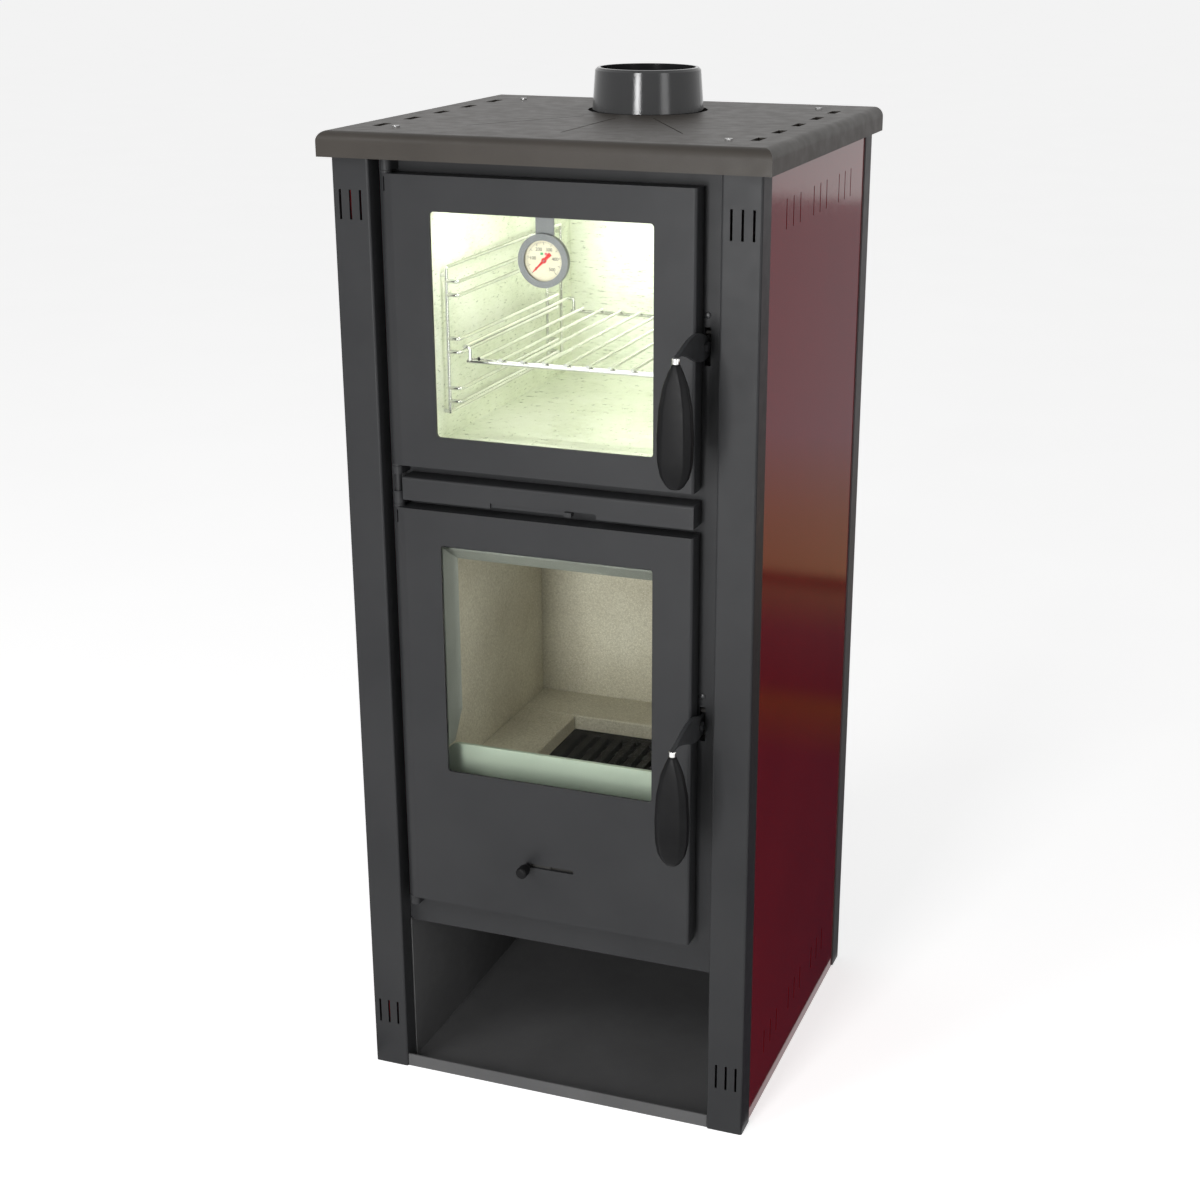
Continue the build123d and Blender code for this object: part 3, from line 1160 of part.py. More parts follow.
def thermometer_lens():
    """Clear lens behind the bezel."""
    y0 = DIAL_FRONT_Y + DIAL_CASE_SHEET
    return dial_disc(DIAL_CASE_RADIUS - DIAL_CASE_SHEET - SLIDER_GAP, y0, y0 + DIAL_LENS)


def thermometer_needle():
    """Needle with a thin pointing end and a broad tail, at the start of the scale."""
    y1 = dial_plate_y() - DIAL_SHEET - SEAT_GAP
    y0 = y1 - NEEDLE_SHEET
    tip_half = 0.5
    hub_half = 1.3
    tail_half = 1.9
    points = [(-hub_half, 0), (-tip_half, NEEDLE_LENGTH), (tip_half, NEEDLE_LENGTH), (hub_half, 0),
              (tail_half, -NEEDLE_TAIL), (-tail_half, -NEEDLE_TAIL)]
    outline = Rot(0, 0, -NEEDLE_REST_ANGLE) * make_face(Polyline(*points, close=True))
    outline += Circle(NEEDLE_HUB_RADIUS)
    outline -= Circle(NEEDLE_POST_RADIUS + NEEDLE_PLAY)
    face = Plane(origin=(0, y1, DIAL_Z), x_dir=(1, 0, 0), z_dir=(0, -1, 0))
    return extrude(face * outline, amount=y1 - y0)


PIECES = {
    "base_plate": base_plate(),
    "left_column": mirrored(right_post()),
    "right_column": right_post(),
    "left_side_panel": mirrored(right_side_panel()),
    "right_side_panel": right_side_panel(),
    "back_panel": back_panel(),
    "panel_screws": panel_screws(),
    "top_plate": top_plate(),
    "flue_collar": flue_collar(),
    "niche_left_wall": mirrored(niche_right_wall()),
    "niche_right_wall": niche_right_wall(),
    "niche_ceiling": niche_ceiling(),
    "casing_left_wall": mirrored(casing_right_wall()),
    "casing_right_wall": casing_right_wall(),
    "casing_back_wall": casing_back_wall(),
    "casing_top": casing_top(),
    "ash_floor": ash_floor(),
    "hearth_deck": hearth_deck(),
    "firebox_back_wall": firebox_back_wall(),
    "front_frame": front_frame(),
    "hinge_pins": hinge_pins(),
    "latch_pockets": latch_pockets(),
    "fire_throat": fire_throat(),
    "firebrick_left": mirrored(firebrick_right()),
    "firebrick_right": firebrick_right(),
    "firebrick_back": firebrick_back(),
    "hearth_bricks": hearth_bricks(),
    "baffle_plate": baffle_plate(),
    "fire_grate": fire_grate(),
    "log_guard": log_guard(),
    "ash_drawer": ash_drawer(),
    "oven_box": oven_box(),
    "left_rack": mirrored(right_rack()),
    "right_rack": right_rack(),
    "oven_shelf": oven_shelf(),
    "air_cover": air_cover(),
    "secondary_air_slider": secondary_air_slider(),
    "oven_door": oven_door(),
    "oven_door_glass": door_glass(OVEN_WINDOW_Z),
    "oven_glass_clips": glass_clips(OVEN_CLIP_LEVELS),
    "oven_door_seal": door_seal(OVEN_SEAL_Z),
    "oven_handle_pivot": handle_pivot(OVEN_PIVOT_Z),
    "oven_handle_arm": handle_arm(OVEN_PIVOT_Z),
    "oven_handle_ferrule": handle_ferrule(OVEN_PIVOT_Z),
    "oven_handle_grip": handle_grip(OVEN_PIVOT_Z),
    "thermometer_case": thermometer_case(),
    "thermometer_dial": thermometer_dial(),
    "thermometer_lens": thermometer_lens(),
    "thermometer_needle": thermometer_needle(),
    "fire_door": fire_door(),
    "fire_door_glass": door_glass(FIRE_WINDOW_Z),
    "fire_glass_clips": glass_clips(FIRE_CLIP_LEVELS),
    "fire_door_seal": door_seal(FIRE_SEAL_Z),
    "fire_handle_pivot": handle_pivot(FIRE_PIVOT_Z),
    "fire_handle_arm": handle_arm(FIRE_PIVOT_Z),
    "fire_handle_ferrule": handle_ferrule(FIRE_PIVOT_Z),
    "fire_handle_grip": handle_grip(FIRE_PIVOT_Z),
    "fire_door_deflector": fire_door_deflector(),
    "primary_air_slider": primary_air_slider(),
    "primary_air_knob": primary_air_knob(),
}

os.makedirs("parts", exist_ok=True)
for name, shape in PIECES.items():
    export_step(shape, f"parts/{name}.step")
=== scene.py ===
import json
import math

import bpy
from mathutils import Matrix, Vector


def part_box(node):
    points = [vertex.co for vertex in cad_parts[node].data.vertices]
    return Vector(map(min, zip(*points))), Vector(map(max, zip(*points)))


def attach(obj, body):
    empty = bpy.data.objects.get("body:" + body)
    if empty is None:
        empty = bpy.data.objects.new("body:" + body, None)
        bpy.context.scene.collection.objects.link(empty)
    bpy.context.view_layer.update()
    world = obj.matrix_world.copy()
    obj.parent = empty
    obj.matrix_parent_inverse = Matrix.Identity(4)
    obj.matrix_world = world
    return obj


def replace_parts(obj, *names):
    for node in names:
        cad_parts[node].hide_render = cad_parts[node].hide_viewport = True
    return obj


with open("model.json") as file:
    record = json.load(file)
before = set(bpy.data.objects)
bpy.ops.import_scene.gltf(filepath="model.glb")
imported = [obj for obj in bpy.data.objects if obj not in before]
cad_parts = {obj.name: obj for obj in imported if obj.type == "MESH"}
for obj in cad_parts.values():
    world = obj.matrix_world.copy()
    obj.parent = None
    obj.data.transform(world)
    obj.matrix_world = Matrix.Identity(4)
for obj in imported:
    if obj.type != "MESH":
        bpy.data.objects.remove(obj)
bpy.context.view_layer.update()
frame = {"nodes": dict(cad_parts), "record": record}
NODES = frame["nodes"]

# Lengths are metres in the stove's own frame, except the lens and the sensor, which are millimetres.

# Wire racks of the oven
WIRE = 0.002                    # radius
RACK_BEND = 0.004
RACK_X = 0.1255
RACK_Y = (-0.156, 0.110, 0.152)
RACK_Z = (0.760, 0.910)
RAIL_X = 0.1125
RAIL_PAIRS_Z = (0.7728, 0.8240, 0.8821)
RAIL_SPACING = 0.0138
OVEN_WALL_X = 0.1315
FOOT_GAP = 0.0003               # between a rack's feet and the oven wall
TOP_FOOT_DROP = 0.008

# Wire shelf
SHELF_BEND = 0.003
SHELF_X = 0.105
SHELF_Y = (-0.148, -0.140, 0.140)
RUNNER_Z, GRID_Z = 0.8283, 0.8140
CROSS_OVERHANG = 0.0032
LONG_WIRES = 9
LONG_PITCH = 0.0237
LONG_OVERHANG = 0.0012
LONG_RISE = 0.0034

# Thermometer dial
DIAL = Vector((0.0, 0.0, 0.9305))
PRINT_RISE = 0.00008
PRINT_SHEET = 0.0001
PRINT_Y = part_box("thermometer_dial")[0].y - PRINT_RISE
DIAL_START, DIAL_SWEEP = 225.0, 270.0    # degrees of turn, clockwise from the top
DIAL_STEPS = 50
DEGREES_A_STEP = 10             # of temperature
LONG_TICK_EVERY, NUMBER_EVERY = 5, 10
TICK_TOP = 0.0180
LONG_TICK = {"foot": 0.0150, "half": 0.00022}
SHORT_TICK = {"foot": 0.0166, "half": 0.00012}
NUMBER_SIZE, NUMBER_RADIUS, NUMBER_HALF_SHEET = 0.0046, 0.0117, 0.00006
PATCH_X, PATCH_HALF_WIDTH = 0.0022, 0.0014
PATCH_Z = (0.0052, 0.0076)      # above the middle of the dial

# Small screws on the frame
FRAME_Y = -0.187
SCREW_X = 0.1613
SCREW_Z = {"frame_screw_upper": 0.886, "frame_screw_lower": 0.4965}
SCREW_RADIUS, SCREW_RISE = 0.0034, 0.0017
SCREW_RINGS, SCREW_SIDES = 6, 28

# Rounding of edges
WELD_DISTANCE = 0.00002
FLAT_ANGLE = 0.6                # degrees
TUBE_RESOLUTION = 2
BEND_STEPS = 6

# Camera
LENS, SENSOR = 59.12, 36.0
SHIFT = (-0.0229, 0.0345)
EYE = (0.72928, -1.95949, 1.24555)
EYE_DOWN, EYE_TURN = 20.342, 20.113      # degrees
CLIP_END = 200.0

# Floor, world and cards
FLOOR_REACH = 60.0
FLOOR_GLOW = 0.62
WORLD_LEVEL = 0.34
CARD_NEAR_X, CARD_FAR_X = 0.222, 5.0
CARD_FRONT_Y, CARD_BACK_Y = -0.25, 7.0
CARD_Z = 0.004
CARD_TINTS = (                  # distance behind the middle of the stove, and the glow colour there: painted reflection
    (0.80, (0.03, 0.02, 0.035)),
    (1.00, (0.10, 0.055, 0.02)),
    (1.08, (0.04, 0.02, 0.03)),
    (1.35, (0.07, 0.04, 0.05)),
    (1.55, (0.14, 0.10, 0.06)),
    (1.64, (0.05, 0.03, 0.02)),
    (1.70, (0.34, 0.22, 0.12)),
    (2.05, (0.36, 0.25, 0.17)),
    (2.75, (0.36, 0.31, 0.33)),
)

# Lamps: name, place, target, size, watts, colour
WHITE, OVEN_WHITE = (1.0, 1.0, 1.0), (1.0, 1.0, 0.95)
LAMPS = (
    ("key", (-1.4, -2.2, 2.4), (0.0, 0.0, 0.7), (1.0, 1.0), 20.0, WHITE),
    ("front_strip", (-0.10, -2.35, 0.85), (0.0, 0.0, 0.8), (0.42, 1.2), 33.0, WHITE),
    ("right_fill", (2.4, -1.6, 0.9), (0.0, 0.0, 0.7), (0.8, 1.6), 11.0, WHITE),
    ("oven_glow", (0.0, -0.165, 0.978), (0.0, 0.12, 0.74), (0.20, 0.02), 0.46, OVEN_WHITE),
    ("fire_glow", (0.09, -0.150, 0.585), (-0.13, 0.0, 0.45), (0.06, 0.02), 0.17, OVEN_WHITE),
)

# Socket numbers of the colour mix node
MIX_FACTOR, MIX_A, MIX_B, MIX_RESULT = 0, 6, 7, 2


# Node helpers

class Shade:
    """A material under construction, with short ways to add its nodes."""

    def __init__(self, name):
        self.mat = bpy.data.materials.new(name)
        self.mat.use_nodes = True
        self.tree = self.mat.node_tree
        self.bsdf = self.tree.nodes["Principled BSDF"]
        self.out = self.tree.nodes["Material Output"]
        self.place = self.tree.nodes.new("ShaderNodeTexCoord").outputs["Object"]

    def node(self, kind, **settings):
        """A new shader node, with its settings."""
        made = self.tree.nodes.new("ShaderNode" + kind)
        for key, value in settings.items():
            setattr(made, key, value)
        return made

    def link(self, source, target):
        self.tree.links.new(source, target)

    def feed(self, socket, value):
        """Links a socket to the value, or sets a plain number there."""
        if isinstance(value, bpy.types.NodeSocket):
            self.link(value, socket)
        else:
            socket.default_value = value

    def put(self, **values):
        """Sets sockets of the shader; underscores stand for spaces."""
        for key, value in values.items():
            self.bsdf.inputs[key.replace("_", " ")].default_value = value

    def scaled(self, scale):
        """The place on the object, stretched along each axis."""
        mapping = self.node("Mapping")
        mapping.inputs["Scale"].default_value = scale
        self.link(self.place, mapping.inputs["Vector"])
        return mapping.outputs["Vector"]

    def noise(self, scale, detail=3.0, rough=0.55, stretch=None):
        """Cloudy noise with this many waves to the metre."""
        made = self.node("TexNoise")
        made.inputs["Scale"].default_value = scale
        made.inputs["Detail"].default_value = detail
        made.inputs["Roughness"].default_value = rough
        self.link(self.scaled(stretch) if stretch else self.place, made.inputs["Vector"])
        return made.outputs["Fac"]

    def ramp(self, factor, *stops):
        """Colours along a factor, from stops of (position, colour)."""
        made = self.node("ValToRGB")
        elements = made.color_ramp.elements
        while len(elements) < len(stops):
            elements.new(0.5)
        for element, (at, colour) in zip(elements, stops):
            element.position = at
            element.color = (*colour, 1.0)
        self.link(factor, made.inputs["Fac"])
        return made.outputs["Color"]

    def spread(self, factor, low, high, source=(0.3, 0.7)):
        """The factor stretched to lie between low and high."""
        made = self.node("MapRange")
        for name, value in zip(("From Min", "From Max", "To Min", "To Max"), (*source, low, high)):
            made.inputs[name].default_value = value
        self.link(factor, made.inputs["Value"])
        return made.outputs["Result"]

    def blend(self, factor, a, b, mode="MIX"):
        """Two colours mixed by a factor."""
        made = self.node("Mix", data_type="RGBA", blend_type=mode)
        for index, value in ((MIX_FACTOR, factor), (MIX_A, a), (MIX_B, b)):
            self.feed(made.inputs[index], value)
        return made.outputs[MIX_RESULT]

    def math(self, operation, a, b):
        made = self.node("Math", operation=operation)
        for socket, value in zip(made.inputs, (a, b)):
            self.feed(socket, value)
        return made.outputs[0]

    def colour(self, socket):
        self.link(socket, self.bsdf.inputs["Base Color"])

    def roughness(self, socket):
        self.link(socket, self.bsdf.inputs["Roughness"])

    def bump(self, *layers):
        """Adds bumps, each a (height, distance, strength)."""
        normal = None
        for height, distance, strength in layers:
            made = self.node("Bump")
            made.inputs["Strength"].default_value = strength
            made.inputs["Distance"].default_value = distance
            self.link(height, made.inputs["Height"])
            if normal:
                self.link(normal, made.inputs["Normal"])
            normal = made.outputs["Normal"]
        self.link(normal, self.bsdf.inputs["Normal"])


# Materials

def satin_paint(name, low, high, rough, specular, grain=1400.0):
    """Heat-proof paint: very fine grain and soft cloudiness."""
    m = Shade(name)
    cloud = m.noise(9.0, 4.0)
    fine = m.noise(grain, 2.0)
    tint = m.ramp(cloud, (0.3, low), (0.7, high))
    speck = m.ramp(m.spread(fine, 0.93, 1.07), (0.0, (0.0, 0.0, 0.0)), (1.0, (1.0, 1.0, 1.0)))
    m.colour(m.blend(1.0, tint, speck, "MULTIPLY"))
    m.roughness(m.spread(m.noise(60.0, 5.0), rough - 0.04, rough + 0.05))
    m.put(Specular_IOR_Level=specular)
    m.bump((fine, 0.00012, 0.35), (m.noise(180.0, 3.0), 0.0002, 0.12))
    return m.mat


def enamel(name):
    """Glossy dark red enamel with the faint waviness of fired sheet."""
    m = Shade(name)
    m.colour(m.ramp(m.noise(7.0, 4.0), (0.3, (0.165, 0.0058, 0.0085)), (0.7, (0.195, 0.0078, 0.0110))))
    m.roughness(m.spread(m.noise(240.0, 4.0), 0.07, 0.11))
    m.put(Specular_IOR_Level=0.35)
    m.bump((m.noise(14.0, 2.0), 0.0007, 0.10), (m.noise(900.0, 2.0), 0.00004, 0.2))
    return m.mat


def bright_metal(name, low, high, rough, stretch=(1.0, 1.0, 1.0)):
    """Bare or plated metal with fine streaks."""
    m = Shade(name)
    streak = m.noise(60.0, 6.0, 0.7, stretch)
    m.colour(m.ramp(m.noise(11.0, 4.0), (0.3, low), (0.7, high)))
    m.roughness(m.spread(streak, rough - 0.06, rough + 0.08))
    m.put(Metallic=1.0)
    m.bump((streak, 0.00002, 0.2))
    return m.mat


def oven_sheet(name):
    """Bright rolled oven sheet, pale yellow-green: fine level streaks over soft cloudy patches."""
    m = Shade(name)
    streak = m.noise(420.0, 5.0, 0.75, (0.22, 0.22, 1.0))
    cloud = m.noise(16.0, 5.0, 0.6)
    mottle = m.blend(0.45, cloud, streak)
    m.colour(m.ramp(mottle, (0.36, (0.72, 0.76, 0.62)), (0.50, (0.89, 0.92, 0.80)),
                    (0.66, (0.97, 0.99, 0.90))))
    m.roughness(m.spread(streak, 0.24, 0.40))
    m.put(Metallic=0.35)
    m.bump((streak, 0.00006, 0.25))
    return m.mat


def guard_sheet(name):
    """Smooth pale green steel of the log guard."""
    m = Shade(name)
    m.colour(m.ramp(m.noise(14.0, 4.0), (0.3, (0.40, 0.48, 0.38)), (0.7, (0.46, 0.54, 0.43))))
    m.roughness(m.spread(m.noise(500.0, 3.0), 0.36, 0.46))
    m.put(Metallic=0.25)
    m.bump((m.noise(1200.0, 2.0), 0.00003, 0.2))
    return m.mat


def firebrick(name):
    """Pressed vermiculite brick: flakes, fine pits and soft pale patches."""
    m = Shade(name)
    flake = m.node("TexVoronoi", feature="F1")
    flake.inputs["Scale"].default_value = 420.0
    m.link(m.place, flake.inputs["Vector"])
    depth = flake.outputs["Distance"]
    cloud = m.ramp(m.noise(8.0, 5.0), (0.25, (0.58, 0.55, 0.45)), (0.55, (0.72, 0.70, 0.59)),
                   (0.8, (0.82, 0.81, 0.70)))
    grain = m.ramp(m.noise(520.0, 4.0), (0.3, (0.72, 0.70, 0.66)), (0.75, (1.0, 1.0, 1.0)))
    cells = m.ramp(depth, (0.0, (1.0, 0.99, 0.96)), (0.9, (0.80, 0.79, 0.75)))
    m.colour(m.blend(1.0, m.blend(1.0, cloud, grain, "MULTIPLY"), cells, "MULTIPLY"))
    m.roughness(m.spread(m.noise(300.0), 0.78, 0.95))
    m.put(Specular_IOR_Level=0.25)
    m.bump((depth, 0.0002, 0.5), (m.noise(300.0, 6.0), 0.0004, 0.5))
    return m.mat


def cast_iron(name):
    """Rough dark casting."""
    m = Shade(name)
    m.colour(m.ramp(m.noise(40.0, 5.0), (0.3, (0.012, 0.012, 0.011)), (0.7, (0.028, 0.027, 0.024))))
    m.roughness(m.spread(m.noise(150.0), 0.6, 0.85))
    m.put(Specular_IOR_Level=0.10)
    m.bump((m.noise(700.0, 4.0), 0.00003, 0.4), (m.noise(60.0, 3.0), 0.0002, 0.2))
    return m.mat


def rope_seal(name):
    """Braided glass-fibre rope."""
    m = Shade(name)
    braid = m.node("TexWave", wave_type="BANDS", bands_direction="DIAGONAL")
    braid.inputs["Scale"].default_value = 170.0
    braid.inputs["Distortion"].default_value = 2.5
    m.link(m.place, braid.inputs["Vector"])
    strand = braid.outputs["Fac"]
    m.colour(m.ramp(strand, (0.2, (0.09, 0.09, 0.085)), (0.8, (0.30, 0.29, 0.27))))
    m.roughness(m.spread(m.noise(400.0), 0.8, 0.98))
    m.put(Specular_IOR_Level=0.2)
    m.bump((strand, 0.0012, 0.8), (m.noise(900.0), 0.0003, 0.4))
    return m.mat


def clear_glass(name, low, high):
    """Coated ceramic glass: hardly mirrors, lets light through, with a trace of haze."""
    m = Shade(name)
    m.colour(m.ramp(m.noise(5.0, 3.0), (0.3, low), (0.8, high)))
    m.roughness(m.spread(m.noise(30.0, 4.0), 0.0, 0.012))
    m.put(Transmission_Weight=1.0, IOR=1.09)
    path = m.node("LightPath")
    through = m.math("MAXIMUM", path.outputs["Is Shadow Ray"], path.outputs["Is Diffuse Ray"])
    clear = m.node("BsdfTransparent")
    mix = m.node("MixShader")
    m.link(through, mix.inputs["Fac"])
    m.link(m.bsdf.outputs["BSDF"], mix.inputs[1])
    m.link(clear.outputs["BSDF"], mix.inputs[2])
    m.link(mix.outputs["Shader"], m.out.inputs["Surface"])
    return m.mat


def grip_plastic(name):
    """Moulded heat-proof plastic with a fine matt texture."""
    m = Shade(name)
    m.colour(m.ramp(m.noise(30.0, 4.0), (0.3, (0.004, 0.004, 0.0044)), (0.7, (0.008, 0.008, 0.0085))))
    m.roughness(m.spread(m.noise(220.0, 4.0), 0.34, 0.44))
    m.put(Specular_IOR_Level=0.10)
    m.bump((m.noise(1700.0, 2.0), 0.00003, 0.2))
    return m.mat


def print_coat(name, low, high, rough):
    """Printed or painted flat trim with a slight mottle."""
    m = Shade(name)
    m.colour(m.ramp(m.noise(90.0, 4.0), (0.3, low), (0.7, high)))
    m.roughness(m.spread(m.noise(500.0), rough - 0.05, rough + 0.08))
    m.bump((m.noise(1500.0, 2.0), 0.00003, 0.2))
    return m.mat


GRAPHITE = satin_paint("graphite_satin", (0.024, 0.0245, 0.026), (0.030, 0.0305, 0.032), 0.42, 0.18)
TOP_PAINT = satin_paint("cook_top_satin", (0.040, 0.035, 0.030), (0.050, 0.044, 0.038), 0.44, 0.20)
FLUE_PAINT = satin_paint("flue_satin", (0.018, 0.0185, 0.020), (0.023, 0.0235, 0.025), 0.12, 0.5)
DARK_PAINT = satin_paint("inner_black", (0.085, 0.085, 0.086), (0.105, 0.105, 0.106), 0.55, 0.3)
CASING = satin_paint("casing_black", (0.030, 0.029, 0.027), (0.042, 0.040, 0.038), 0.6, 0.3, 900.0)
ARM_PAINT = satin_paint("arm_satin", (0.030, 0.031, 0.033), (0.040, 0.041, 0.043), 0.36, 0.5)
THROAT_PAINT = satin_paint("throat_grey", (0.20, 0.215, 0.185), (0.24, 0.255, 0.22), 0.5, 0.3)
BEZEL_PAINT = satin_paint("thermometer_grey", (0.19, 0.20, 0.20), (0.22, 0.23, 0.23), 0.38, 0.4)
STEEL = bright_metal("plain_steel", (0.36, 0.36, 0.36), (0.50, 0.50, 0.49), 0.32, (1.0, 1.0, 8.0))
CHROME = bright_metal("bright_wire", (0.62, 0.62, 0.60), (0.80, 0.80, 0.78), 0.16)
BLACK_INK = print_coat("black_ink", (0.012, 0.012, 0.012), (0.022, 0.022, 0.022), 0.5)

# The finish of each of the record's material slots
FINISHES = {
    "graphite_paint": GRAPHITE,
    "top_paint": TOP_PAINT,
    "red_enamel": enamel("dark_red_enamel"),
    "dark_paint": DARK_PAINT,
    "casing_steel": CASING,
    "fastener_steel": STEEL,
    "stainless": oven_sheet("oven_sheet"),
    "wire_chrome": CHROME,
    "firebrick": firebrick("firebrick_flakes"),
    "cast_iron": cast_iron("cast_iron_rough"),
    "door_glass": clear_glass("ceramic_glass", (0.97, 0.985, 0.965), (0.98, 0.995, 0.975)),
    "rope_seal": rope_seal("braided_rope"),
    "grip_plastic": grip_plastic("moulded_plastic"),
    "thermometer_steel": BEZEL_PAINT,
    "dial_print": print_coat("dial_cream", (0.74, 0.68, 0.50), (0.80, 0.75, 0.57), 0.45),
    "needle_red": print_coat("needle_red", (0.55, 0.012, 0.012), (0.68, 0.02, 0.02), 0.35),
}

# Nodes whose paint differs from their slot's
OWN_FINISHES = {
    "oven_handle_arm": ARM_PAINT,
    "fire_handle_arm": ARM_PAINT,
    "flue_collar": FLUE_PAINT,
    "fire_throat": THROAT_PAINT,
    "hinge_pins": GRAPHITE,
    "oven_handle_pivot": GRAPHITE,
    "fire_handle_pivot": GRAPHITE,
    "base_plate": DARK_PAINT,
    "back_panel": DARK_PAINT,
    "log_guard": guard_sheet("log_guard_steel"),
}

SLOTS = {part["node"]: part["material_slot"] for part in frame["record"]["subparts"]}
for node_name, node in NODES.items():
    node.data.materials.clear()
    node.data.materials.append(OWN_FINISHES.get(node_name, FINISHES[SLOTS[node_name]]))


# Detail pieces

def keep(piece, body, material):
    """Gives a finished piece its material and body."""
    piece.data.materials.clear()
    piece.data.materials.append(material)
    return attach(piece, body)


def linked(name, data):
    """A new object in the scene."""
    piece = bpy.data.objects.new(name, data)
    bpy.context.scene.collection.objects.link(piece)
    return piece


def plain_mesh(name, vertices, faces):
    """A new mesh from its points and faces."""
    mesh = bpy.data.meshes.new(name)
    mesh.from_pydata(vertices, [], faces)
    return mesh


def shaped_mesh(piece):
    """The piece's mesh with its curves and modifiers worked out."""
    bpy.context.view_layer.update()
    return bpy.data.meshes.new_from_object(piece.evaluated_get(bpy.context.evaluated_depsgraph_get()))


def smooth(mesh):
    """The mesh, with all its faces shaded smooth."""
    for polygon in mesh.polygons:
        polygon.use_smooth = True
    return mesh


def softened(node_name, body, width, segments, angle):
    """A copy of a hard-edged node with rolled edges, which stands for the node."""
    piece = linked(node_name + "_rounded", NODES[node_name].data.copy())
    weld = piece.modifiers.new("weld", "WELD")
    weld.merge_threshold = WELD_DISTANCE
    flat = piece.modifiers.new("flat", "DECIMATE")
    flat.decimate_type = "DISSOLVE"
    flat.angle_limit = math.radians(FLAT_ANGLE)
    bevel = piece.modifiers.new("bevel", "BEVEL")
    bevel.width = width
    bevel.segments = segments
    bevel.limit_method = "ANGLE"
    bevel.angle_limit = math.radians(angle)
    shaped = shaped_mesh(piece)
    piece.modifiers.clear()
    piece.data = smooth(shaped)
    slot = SLOTS[node_name]
    keep(piece, body, FINISHES[slot])
    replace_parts(piece, node_name)


def rounded_path(points, bend):
    """The path with a curve in place of each corner."""
    path = [points[0]]
    for before, at, after in zip(points, points[1:], points[2:]):
        start = at + (before - at).normalized() * bend
        end = at + (after - at).normalized() * bend
        for i in range(BEND_STEPS + 1):
            t = i / BEND_STEPS
            path.append(start * (1 - t) ** 2 + at * (2 * t * (1 - t)) + end * t ** 2)
    return path + [points[-1]]


def round_wires(name, paths, bend):
    """One object of round wires along paths."""
    curve = bpy.data.curves.new("wires", "CURVE")
    curve.dimensions = "3D"
    curve.bevel_depth = WIRE
    curve.bevel_resolution = TUBE_RESOLUTION
    curve.use_fill_caps = True
    for path in paths:
        points = rounded_path([Vector(p) for p in path], bend)
        spline = curve.splines.new("POLY")
        spline.points.add(len(points) - 1)
        for target, point in zip(spline.points, points):
            target.co = (*point, 1.0)
    maker = linked("wire_maker", curve)
    mesh = smooth(shaped_mesh(maker))
    bpy.data.objects.remove(maker)
    return linked(name, mesh)


def rack_wires(side):
    """Paths of one wall rack: frame, rails in pairs and feet on the wall."""
    front, middle, back = RACK_Y
    low, high = RACK_Z
    x, rail = side * RACK_X, side * RAIL_X
    foot = side * (OVEN_WALL_X - FOOT_GAP)
    paths = [[(x, front, low), (x, front, high), (x, back, high), (x, back, low)],
             [(x, front, low + WIRE), (x, back, low + WIRE)],
             [(x, middle, low + WIRE), (x, middle, high)]]
    for z in [base + lift for base in RAIL_PAIRS_Z for lift in (0.0, RAIL_SPACING)]:
        paths.append([(x, front, z), (rail, front, z), (rail, middle, z), (x, middle, z)])
    for y in (front, back):
        for z in (low + WIRE, high - TOP_FOOT_DROP):
            paths.append([(x, y, z), (foot, y, z)])
    return paths


def shelf_wires():
    """Paths of the shelf: hanging runners, cross wires and long wires."""
    front, back = SHELF_Y[0], SHELF_Y[-1]
    paths = []
    for side in (-1, 1):
        edge, rail = side * SHELF_X, side * RAIL_X
        paths.append([(edge, front, GRID_Z), (edge, front, RUNNER_Z), (rail, front, RUNNER_Z),
                      (rail, back, RUNNER_Z), (edge, back, RUNNER_Z), (edge, back, GRID_Z)])
    end = SHELF_X + CROSS_OVERHANG
    paths += [[(-end, y, GRID_Z), (end, y, GRID_Z)] for y in SHELF_Y]
    z = GRID_Z + LONG_RISE
    for i in range(LONG_WIRES):
        x = (i - LONG_WIRES // 2) * LONG_PITCH
        paths.append([(x, front - LONG_OVERHANG, z), (x, back + LONG_OVERHANG, z)])
    return paths


for side, node_name in ((-1, "left_rack"), (1, "right_rack")):
    rack = round_wires(node_name + "_wires", rack_wires(side), RACK_BEND)
    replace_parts(keep(rack, "stove", CHROME), node_name)
shelf = round_wires("oven_shelf_wires", shelf_wires(), SHELF_BEND)
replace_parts(keep(shelf, "oven_shelf", CHROME), "oven_shelf")

for door in ("oven", "fire"):
    handle = door + "_handle"
    softened(handle + "_grip", handle, width=0.0016, segments=4, angle=14.0)
    softened(handle + "_ferrule", handle, width=0.0012, segments=3, angle=25.0)
softened("primary_air_knob", "primary_air", width=0.0012, segments=3, angle=20.0)


def text_mesh(text, place):
    """Raised mesh of a short text facing the front, centred on a place."""
    curve = bpy.data.curves.new("mark", "FONT")
    curve.body = text
    curve.size = NUMBER_SIZE
    curve.align_x = "CENTER"
    curve.align_y = "CENTER"
    curve.extrude = NUMBER_HALF_SHEET
    maker = linked("mark_maker", curve)
    maker.matrix_world = Matrix.Translation(place) @ Matrix.Rotation(math.pi / 2, 4, "X")
    mesh = shaped_mesh(maker)
    mesh.transform(maker.matrix_world)
    bpy.data.objects.remove(maker)
    return mesh


def joined(name, meshes):
    """One object from several meshes."""
    vertices, faces = [], []
    for mesh in meshes:
        base = len(vertices)
        vertices += [tuple(v.co) for v in mesh.vertices]
        faces += [[base + i for i in polygon.vertices] for polygon in mesh.polygons]
    return linked(name, plain_mesh(name, vertices, faces))


